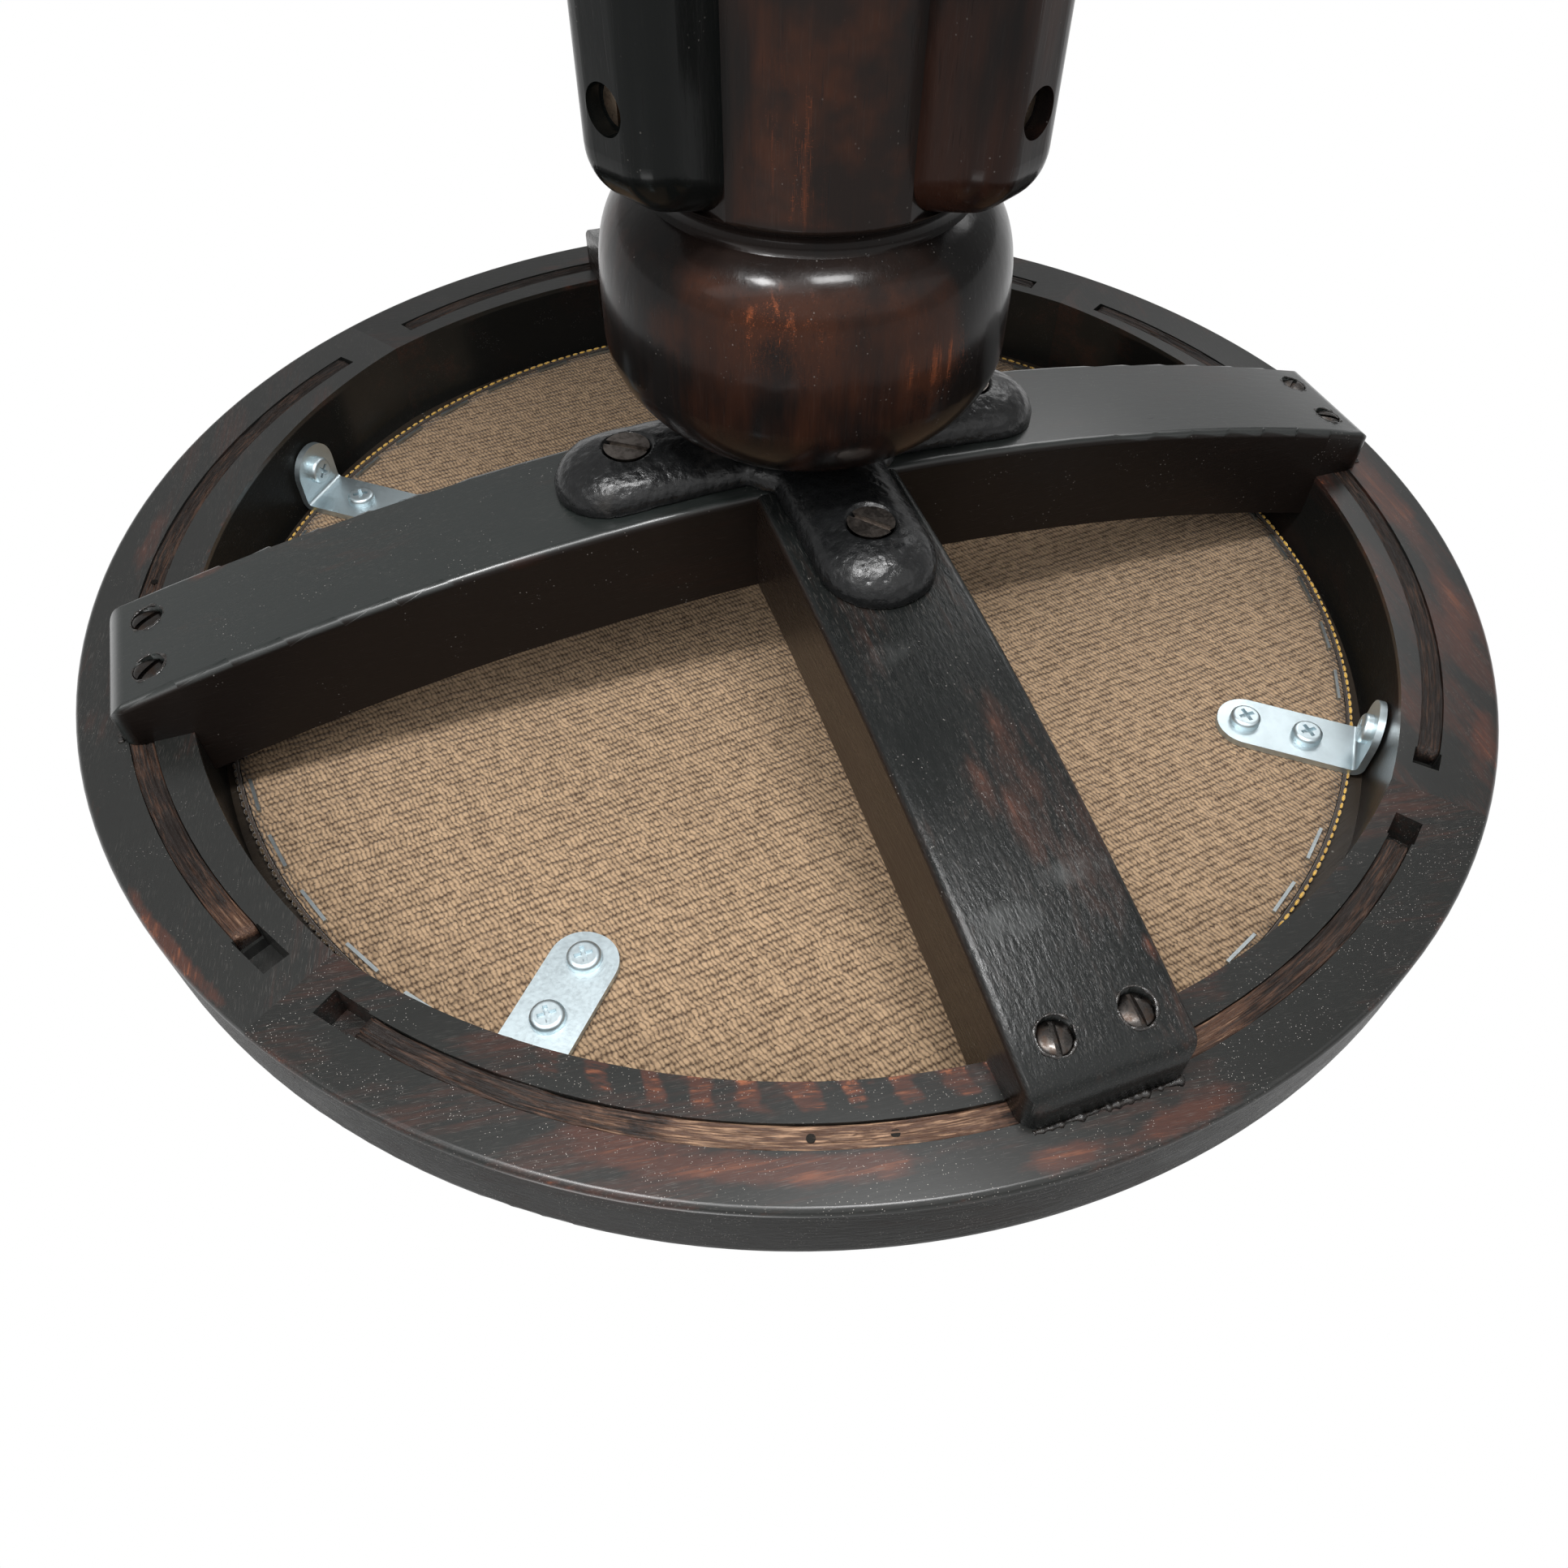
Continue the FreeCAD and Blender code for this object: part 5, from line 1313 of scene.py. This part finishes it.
def loaf(outline, spine, direction, columns=22):
    """A closed loaf: each outline point joined to its spine point, domed below and flat above."""
    points = []
    for (ox, oy), (sx, sy) in zip(outline, spine):
        width = math.hypot(ox - sx, oy - sy)
        for column in range(columns + 1):
            share = 1.0 - math.cos(column / columns * math.pi / 2)
            x, y = ox + (sx - ox) * share, oy + (sy - oy) * share
            depth = width * share
            back = arch_level(abs(x * direction[0] + y * direction[1]))
            rise = math.sqrt(max(0.0, 1.0 - (1.0 - min(depth, DOME_REACH) / DOME_REACH) ** 2))
            droop = 1.3 * MM * max(0.0, (math.hypot(x, y) - DROOP_START) / DROOP_START) ** 2
            thickness = back - CASTING_FACE - droop
            points.append((x, y, back - thickness * (0.16 + 0.84 * rise)))
        for column in range(columns, -1, -1):
            share = 1.0 - math.cos(column / columns * math.pi / 2)
            x, y = ox + (sx - ox) * share, oy + (sy - oy) * share
            points.append((x, y, arch_level(abs(x * direction[0] + y * direction[1])) - 0.02 * MM))
    return points, grid_faces(len(outline), 2 * columns + 2, True, True)


def capsule(direction):
    """Outline and spine of two opposite lobes."""
    across = (-direction[1], direction[0])
    end = LOBE_REACH - LOBE_HALF
    outline, spine = [], []

    def add(along, aside, spine_along):
        outline.append((direction[0] * along + across[0] * aside, direction[1] * along + across[1] * aside))
        spine.append((direction[0] * spine_along, direction[1] * spine_along))

    for side in (-1.0, 1.0):
        for step in range(48):
            share = step / 48
            level = -side * end * (2 * share - 1)
            add(level, side * LOBE_HALF, level)
        for step in range(24):
            along, aside = on_circle(LOBE_HALF, math.pi * step / 24 + side * math.pi / 2)
            add(-side * end + along, aside, -side * end)
    return outline, spine


def make_spider():
    lobes = []
    for direction in ((1.0, 0.0), (0.0, 1.0)):
        outline, spine = capsule(direction)
        points, faces = loaf(outline, spine, direction)
        lobes.append(finish_normals(new_object("lobes", points, faces)))
    ring = [on_circle(HUB_RADIUS, math.tau * step / 72) for step in range(72)]
    points, faces = loaf(ring, [(0.0, 0.0)] * 72, (0.0, 0.0))
    lobes.append(finish_normals(new_object("hub", points, faces)))
    made = joined_pieces("iron_spider_casting", lobes)
    add_modifier(made, "REMESH", mode="VOXEL", voxel_size=0.65 * MM, use_smooth_shade=True)
    add_modifier(made, "SMOOTH", factor=0.5, iterations=4)
    settle(made)
    coordinates = points_of(made)
    normals = np.array([v.normal[:] for v in made.data.vertices])
    for index, place_at in enumerate(coordinates):
        spot = Vector(place_at)
        pit = noise.noise(spot * 330.0) * 0.10 + noise.noise(spot * 800.0) * 0.07
        coordinates[index] += normals[index] * (pit - 0.03) * MM
    coordinates[:, 2] = np.maximum(coordinates[:, 2], CASTING_FACE)
    move_points(made, coordinates)
    return made


def bore_for_screws(made):
    cutters = []
    steps = ((0.0, -2.0), (7.4, -2.0), (5.75, 1.4), (5.45, 1.5), (5.45, 2.2), (2.6, 5.4), (2.6, 14.0),
             (0.0, 14.0))
    for quarter in range(4):
        cutter = revolve("cutter", [(r * MM, CASTING_FACE + z * MM) for r, z in steps], 40)
        for vertex in cutter.data.vertices:
            vertex.co += Vector((*on_circle(SCREW_REACH, quarter * math.pi / 2), 0.0))
        cutters.append(finish_normals(cutter))
    tool = joined_pieces("cutters", cutters)
    add_modifier(made, "BOOLEAN", operation="DIFFERENCE", object=tool, solver="EXACT")
    settle(made)
    bpy.data.objects.remove(tool)
    return made


spider = bore_for_screws(make_spider())
fit_piece(spider, "seat", "black_iron", casting_enamel, "iron_spider")

# %% [markdown]
# The slips in the groove were split from straight wood and bent round. Their faces are torn into fibres, so
# each is a long grid whose surface is broken by noise that is drawn out along the groove.

# %% Groove strips


GROOVE_MIDDLE = np.array(on_circle(1.5 * MM, math.radians(-14.0)))
RING_JOINTS = (-130.0, -34.0, 56.0, 144.0, 230.0)
STRIP_STEP = 0.16


def strip_extents():
    """Radii, heights and each strip's angles round the groove's own centre, from the CAD node's points."""
    coordinates = points_of(NODES["groove_strips"])
    flat_points = coordinates[:, :2] - GROOVE_MIDDLE
    angles = np.degrees(np.arctan2(flat_points[:, 1], flat_points[:, 0]))
    ranges = []
    for joint, following in zip(RING_JOINTS, RING_JOINTS[1:]):
        shifted = np.where(angles < joint, angles + 360.0, angles)
        inside = shifted[(shifted > joint) & (shifted < following)]
        ranges.append((inside.min(), inside.max()))
    radii = np.linalg.norm(flat_points, axis=1)
    return radii.min(), radii.max(), coordinates[:, 2].min(), coordinates[:, 2].max(), ranges


def make_strips():
    inner, outer, low, high, ranges = strip_extents()
    inner, outer = inner - 0.22 * MM, outer + 0.1 * MM
    strips = []
    across = 22
    for number, (start, stop) in enumerate(ranges):
        steps = int((stop - start) / STRIP_STEP)
        points = []
        for step in range(steps + 1):
            angle = math.radians(start + (stop - start) * step / steps)
            ragged = min(step, steps - step) < 2
            for column in range(across + 1):
                share = column / across
                r = inner + (outer - inner) * share
                spot = Vector((angle * 1.6, share * 4.6, number * 5.0))
                split = abs(noise.noise(Vector((angle * 4.0, share * 9.0, number * 3.0 + 1.0))))
                fibre = noise.noise(Vector((angle * 18.0, share * 21.0, number * 7.0)))
                crack = max(0.0, 0.1 - split) / 0.1
                lift = 0.3 * noise.noise(spot) + 0.3 * fibre + 0.6 * crack + (0.4 if ragged else 0.0)
                edge = 0.3 * max(0.0, abs(share - 0.5) * 2.0 - 0.86) / 0.14
                x, y = GROOVE_MIDDLE + on_circle(r, angle)
                points.append((x, y, low + (max(-0.2, lift) + edge) * MM))
            for column in range(across, -1, -across):
                x, y = GROOVE_MIDDLE + on_circle(inner + (outer - inner) * column / across, angle)
                points.append((x, y, high))
        width = across + 3
        faces = grid_faces(steps + 1, width, False, True)
        faces.append(tuple(range(width)))
        faces.append(tuple(reversed(range(steps * width, (steps + 1) * width))))
        strips.append(finish_normals(new_object("strip", points, faces)))
    return joined_pieces("groove_strips_torn", strips)


strips = make_strips()
fit_piece(strips, "seat", "raw_wood", strip_wood, "groove_strips")

# %% [markdown]
# The arms turn down over the ring in a soft nose. The solids have a plain square end there, so each arm is
# copied, and a Boolean takes away everything outside a quarter round. The copy keeps sharp edges sharp and
# weights its normals by area, so the large flat faces stay flat beside their narrow rounds.

# %% Arms with rounded noses
NOSE_RADIUS, EDGE_ROUND = 7.0 * MM, 2.0 * MM
NOSE_RUN = ARM_REACH - NOSE_RADIUS
ARCH_MIDDLE = ARM_CROWN + ARCH_RADIUS
NOSE_LEVEL = ARCH_MIDDLE - math.sqrt((ARCH_RADIUS - NOSE_RADIUS) ** 2 - NOSE_RUN ** 2)


def nose_cutter(quarter):
    """A prism that fills the space outside one arm end's round."""
    stop = math.atan2(NOSE_LEVEL - ARCH_MIDDLE, NOSE_RUN)
    arc = [(NOSE_RUN + x, NOSE_LEVEL + z)
           for x, z in (on_circle(NOSE_RADIUS, stop * step / 14) for step in range(15))]
    below, beyond = NOSE_LEVEL - 2 * NOSE_RADIUS, ARM_REACH + 5 * MM
    profile = arc + [(arc[-1][0] - 2 * MM, below), (beyond, below), (beyond, NOSE_LEVEL)]
    count = len(profile)
    side = ARM_HALF_WIDTH + 3 * MM
    points = [quarter_turn(quarter) @ Vector((x, y, z)) for y in (-side, side) for x, z in profile]
    faces = [tuple(range(count)), tuple(range(2 * count - 1, count - 1, -1))]
    faces += [(i, count + i, count + (i + 1) % count, (i + 1) % count) for i in range(count)]
    return finish_normals(new_object("nose_cutter", points, faces, False))


def true_arch_normals(mesh, axis):
    """Gives the arch, its rounded edges and the noses their exact normals, however they are cut up."""
    tangent = NOSE_RUN * ARCH_RADIUS / (ARCH_RADIUS - NOSE_RADIUS)
    curved = {}
    for vertex in mesh.vertices:
        along, across = (vertex.co.x, vertex.co.y) if axis == "x" else (vertex.co.y, vertex.co.x)
        if abs(along) < tangent:
            lengthwise, upward, full = along, vertex.co.z - ARCH_MIDDLE, ARCH_RADIUS
            aside = max(0.0, abs(across) - ARM_HALF_WIDTH + EDGE_ROUND)
        else:
            lengthwise, upward = along - math.copysign(NOSE_RUN, along), vertex.co.z - NOSE_LEVEL
            aside, full = 0.0, NOSE_RADIUS
        length = math.hypot(lengthwise, upward)
        down = max(0.0, length - full + EDGE_ROUND)
        if abs(math.hypot(aside, down) - EDGE_ROUND) < 0.07 * MM:
            lengthwise, upward = lengthwise / length * down, upward / length * down
            aside = math.copysign(aside, across)
            true = (lengthwise, aside, upward) if axis == "x" else (aside, lengthwise, upward)
            curved[vertex.index] = Vector(true).normalized()
    normals = [corner.vector.copy() for corner in mesh.corner_normals]
    for face in mesh.polygons:
        if all(index in curved and face.normal.dot(curved[index]) > 0.6 for index in face.vertices):
            for corner in face.loop_indices:
                normals[corner] = curved[mesh.loops[corner].vertex_index]
    mesh.normals_split_custom_set(normals)


def nosed_arm(node_name, name, quarters, material):
    made = bpy.data.objects.new(name, NODES[node_name].data.copy())
    bpy.context.collection.objects.link(made)
    finish_normals(made)
    for quarter in quarters:
        cutter = nose_cutter(quarter)
        add_modifier(made, "BOOLEAN", operation="DIFFERENCE", object=cutter, solver="EXACT")
        settle(made)
        bpy.data.objects.remove(cutter)
    made.data.polygons.foreach_set("use_smooth", [True] * len(made.data.polygons))
    made.data.set_sharp_from_angle(angle=math.radians(32))
    add_modifier(made, "WEIGHTED_NORMAL", keep_sharp=True, weight=80)
    settle(made)
    true_arch_normals(made.data, "x" if 0 in quarters else "y")
    return fit_piece(made, "seat", "ebonised_wood", material, node_name)


nosed_arm("cross_arm_side_to_side", "cross_arm_side_nosed", (0, 2), side_arm)
nosed_arm("cross_arm_front_to_back", "cross_arm_front_nosed", (1, 3), front_arm)

# %% [markdown]
# Eight slotted screws hold the arm ends. One head is modelled: a low dome, made row by row across its slot
# so that the slot has straight walls. A Geometry Nodes tree then puts it on eight points, each with its own
# turn, because no two screws stop at the same angle.

# %% Slotted heads


def slotted_head(name, radius, crown, slot_half, slot_depth, shank_radius, shank_end):
    """A domed head whose rim lies at z = 0 and whose crown points down, with its shank above it."""
    rows = [-radius * math.cos(math.pi * step / 20) for step in range(21)]
    rows = [y for y in rows if abs(y) > slot_half + 0.05 * MM]
    rows += [-slot_half - 0.02 * MM, -slot_half, slot_half, slot_half + 0.02 * MM]
    columns = 18
    points = []
    rows.sort()
    for y in rows:
        width = math.sqrt(max(0.0, radius ** 2 - y ** 2))
        line = []
        for column in range(columns + 1):
            x = -width * math.cos(math.pi * column / columns)
            away = math.hypot(x, y) / radius
            z = -crown * math.sqrt(max(0.0, 1.0 - away ** 2.6))
            line.append((x, y, slot_depth - crown if abs(y) <= slot_half else z))
        points += line + [(x, y, slot_depth + 0.4 * MM) for x, y, z in reversed(line)]
    head = finish_normals(new_object(name, points, grid_faces(len(rows), 2 * columns + 2, False, True)))
    start = slot_depth + 0.3 * MM
    outline = [(0.0, start), (radius * 0.94, start), (shank_radius, start + 2.0 * MM),
               (shank_radius, shank_end), (0.0, shank_end)]
    shank = finish_normals(revolve("shank", outline, 24))
    made = joined_pieces(name, [head, shank])
    made.data.set_sharp_from_angle(angle=math.radians(40))
    return made


def build_screw_tree():
    """Puts one head on every point, turned by the point's own angle."""
    tree, given, sockets = new_geometry_tree("screws_on_points", {
        "Places": "NodeSocketGeometry", "Head": "NodeSocketObject", "Finish": "NodeSocketMaterial"})
    head = node(tree, "GeometryNodeObjectInfo", in_Object=given["Head"])
    turn = node(tree, "GeometryNodeInputNamedAttribute", data_type="FLOAT", in_Name="turn")
    put = node(tree, "GeometryNodeInstanceOnPoints", in_Points=given["Places"],
               in_Instance=out(head, "Geometry"), in_Rotation=vector_of(0.0, 0.0, out(turn, "Attribute")))
    plain = node(tree, "GeometryNodeRealizeInstances", in_Geometry=out(put, "Instances"))
    finish = node(tree, "GeometryNodeSetMaterial", in_Geometry=out(plain, "Geometry"),
                  in_Material=given["Finish"])
    node(tree, "NodeGroupOutput", in_Geometry=out(finish, "Geometry"))
    return tree, sockets


screw_tree, screw_sockets = build_screw_tree()


def driven_screws(name, head, places, material):
    """Screws at places given as point and turn in degrees."""
    made = new_object(name, [point for point, turn in places], [])
    turns = made.data.attributes.new("turn", "FLOAT", "POINT")
    turns.data.foreach_set("value", [math.radians(turn) for point, turn in places])
    return run_tree(made, screw_tree, screw_sockets, Head=head, Finish=material)


ARM_SCREW_REACH, ARM_SCREW_ASIDE = 158.8 * MM, 8.5 * MM
SCREW_TURNS = ((133, 142), (75, 10), (140, 35), (-87, -78))
screw_places = []
for quarter, turns in enumerate(SCREW_TURNS):
    for aside, slot_turn in zip((-ARM_SCREW_ASIDE, ARM_SCREW_ASIDE), turns):
        spot = quarter_turn(quarter) @ Vector((ARM_SCREW_REACH, aside, 0.0))
        screw_places.append((spot + Vector((0.0, 0.0, arch_level(ARM_SCREW_REACH) + 1.3 * MM)), slot_turn))
screw_head = slotted_head("screw_head", 3.68 * MM, 1.0 * MM, 0.55 * MM, 1.2 * MM, 1.8 * MM, 14.0 * MM)
arm_screws = driven_screws("arm_end_screws_slotted", screw_head, screw_places, dark_screw)
bpy.data.objects.remove(screw_head)
fit_piece(arm_screws, "seat", "dark_steel", None, "arm_end_screws")

# %% [markdown]
# Old varnish has pooled in a ragged bead round each screw and where the arm ends meet the ring. A bead is a
# small tube along a path, whose thickness wanders with noise. It stands a few tenths of a millimetre high.

# %% Varnish beads


def bead_of_varnish(path, thickness, seed, closed):
    """A ragged tube along a path of points; its middle lies just under the surface that it clings to."""
    around = 6
    points = []
    count = len(path)
    for index, spot in enumerate(path):
        before = path[(index - 1) % count] if closed else path[max(0, index - 1)]
        after = path[(index + 1) % count] if closed else path[min(count - 1, index + 1)]
        along = (after - before).normalized()
        aside = along.cross(Vector((0.0, 0.0, 1.0))).normalized()
        upward = aside.cross(along)
        size = thickness * max(0.12, 0.75 + 1.3 * noise.noise(spot * 640.0 + Vector((seed, 0.0, 0.0))))
        for step in range(around):
            angle = math.tau * step / around
            points.append(spot + aside * (1.5 * size * math.cos(angle)) + upward * (size * math.sin(angle)))
    faces = grid_faces(count, around, closed, True)
    if not closed:
        faces += [tuple(range(around)), tuple(range((count - 1) * around, count * around))]
    return finish_normals(new_object("bead", points, faces))


def varnish_beads():
    beads = []
    for number, (spot, slot_turn) in enumerate(screw_places):
        along_x = abs(spot.x) > abs(spot.y)
        path = []
        for step in range(56):
            angle = math.tau * step / 56
            ragged = noise.noise(Vector((*on_circle(1.4, angle), number)))
            x, y = np.array(spot.xy) + on_circle((3.95 + 0.22 * ragged) * MM, angle)
            path.append(Vector((x, y, arch_level(abs(x if along_x else y)) + 0.08 * MM)))
        beads.append(bead_of_varnish(path, 0.26 * MM, number * 7.0, True))
    for quarter in range(4):
        x, z = ARM_REACH + 0.2 * MM, ring_low.z - 0.02 * MM
        path = [quarter_turn(quarter) @ Vector((x, (-16.0 + 32.0 * step / 160) * MM, z))
                for step in range(161)]
        beads.append(bead_of_varnish(path, 0.62 * MM, 60.0 + quarter, False))
    return joined_pieces("varnish_beads", beads)


def varnish(name):
    material, shader, position = new_material(name, Specular_IOR_Level=0.5)
    lumps = noise_value(position, 900.0, 3.0, 0.65)
    colour = blend_colour(spread(lumps, 0.3, 0.7), (0.004, 0.004, 0.004), (0.016, 0.013, 0.011))
    connect(shader, Base_Color=colour, Roughness=spread(lumps, 0.2, 0.8, 0.16, 0.34))
    dent(shader, lumps, 0.8, 0.4 * MM)
    return material


fit_piece(varnish_beads(), "seat", "ebonised_wood", varnish("pooled_varnish"))

# %% [markdown]
# Stage: a pale floor, a white world for the camera and for reflections, and soft lamps. The stool is seen
# from below, so its light comes from below too: wide weak lamps lie just over the floor and shine straight
# up, which leaves the floor itself clean. Two small ones give the polished ball and shaft their glints.
# Light linking keeps those from the legs and the floor, which stand too near them.

# %% Stage


def stage_floor():
    corners = [(x, y, 0.0) for x, y in ((-4.0, -4.0), (4.0, -4.0), (4.0, 4.0), (-4.0, 4.0))]
    made = new_object("floor", corners, [(0, 1, 2, 3)], False)
    material, shader, position = new_material("pale_floor", Roughness=0.9)
    tone = spread(noise_value(position, 3.0), 0.3, 0.7, 0.80, 0.82)
    connect(shader, Base_Color=vector_of(tone, tone, tone))
    made.data.materials.append(material)


def lamp(name, place_at, aim, size, watts):
    data = bpy.data.lights.new(name, "AREA")
    data.shape = "RECTANGLE"
    data.size, data.size_y = size
    data.energy = watts
    made = bpy.data.objects.new(name, data)
    bpy.context.collection.objects.link(made)
    made.location = place_at
    made.rotation_mode = "QUATERNION"
    made.rotation_quaternion = (Vector(aim) - Vector(place_at)).to_track_quat("-Z", "Y")
    made.visible_camera = False
    return made


def low_lamp(name, x, y, z, size, watts):
    """A lamp near the floor that shines straight up."""
    return lamp(name, (x, y, z), (x, y, 1.0), size, watts)


def white_world():
    """Full white for the camera and for reflections, and a dim even light on everything."""
    world = bpy.data.worlds.new("studio")
    bpy.context.scene.world = world
    world.use_nodes = True
    rays = outputs_of(node(world.node_tree, "ShaderNodeLightPath"))
    shown = calc("MAXIMUM", rays["Is Camera Ray"],
                 calc("MAXIMUM", rays["Is Glossy Ray"], rays["Is Transmission Ray"]))
    dim, full = 0.46, 1.0
    connect(world.node_tree.nodes["Background"], Color=(1.0, 1.0, 1.0, 1.0),
            Strength=spread(shown, 0.0, 1.0, dim, full, smooth=False))


stage_floor()
white_world()
low_lamp("floor_glow", 0.0, -0.6, 0.015, (1.3, 0.7), 2.6)
low_lamp("left_glow", 0.36, -0.42, 0.015, (0.6, 0.6), 3.9)
low_lamp("side_soft", -0.36, 0.28, 0.02, (0.26, 0.26), 1.15)
lamp("high_key", (0.9, -1.1, 1.6), (0.0, 0.0, 0.35), (0.9, 0.9), 12.0)
shines = [low_lamp("shine_left", 0.165, -0.115, 0.02, (0.05, 0.06), 1.3),
          low_lamp("shine_right", -0.01, -0.14, 0.02, (0.09, 0.05), 1.2)]
polished = bpy.data.collections.new("catches_the_shine")
for thing in bpy.data.objects:
    if thing.type == "MESH" and not thing.name.startswith(("leg_", "foot_", "floor")):
        polished.objects.link(thing)
for shine in shines:
    shine.light_linking.receiver_collection = polished

# %% [markdown]
# The camera was solved on the ring's circle and the half-lapped cross in the photograph. It stands about
# 200 mm above the floor and 250 mm out from the stool's axis, and looks up at the seat's underside. The
# photograph is cropped, so its centre is not the lens's centre: the camera's shift makes up for that.

# %% Camera
camera_data = bpy.data.cameras.new("photo_camera")
camera = bpy.data.objects.new("photo_camera", camera_data)
bpy.context.collection.objects.link(camera)
IMAGE_SIDE = 1932.0
FOCAL_PIXELS = 1474.79
CENTRE_PIXELS = (1012.002, 966.005)
camera_data.sensor_width = 36.0
camera_data.lens = FOCAL_PIXELS / IMAGE_SIDE * camera_data.sensor_width
camera_data.shift_x = (IMAGE_SIDE / 2 - CENTRE_PIXELS[0]) / IMAGE_SIDE
camera_data.shift_y = (CENTRE_PIXELS[1] - IMAGE_SIDE / 2) / IMAGE_SIDE
camera_data.clip_start = 0.01
camera.location = (89.838 * MM, -237.750 * MM, 199.276 * MM)
camera.rotation_mode = "QUATERNION"
camera.rotation_quaternion = Quaternion((0.0741593, -0.1627698, 0.9273333, -0.3287238))
bpy.context.scene.camera = camera
bpy.context.scene.view_settings.view_transform = "Standard"
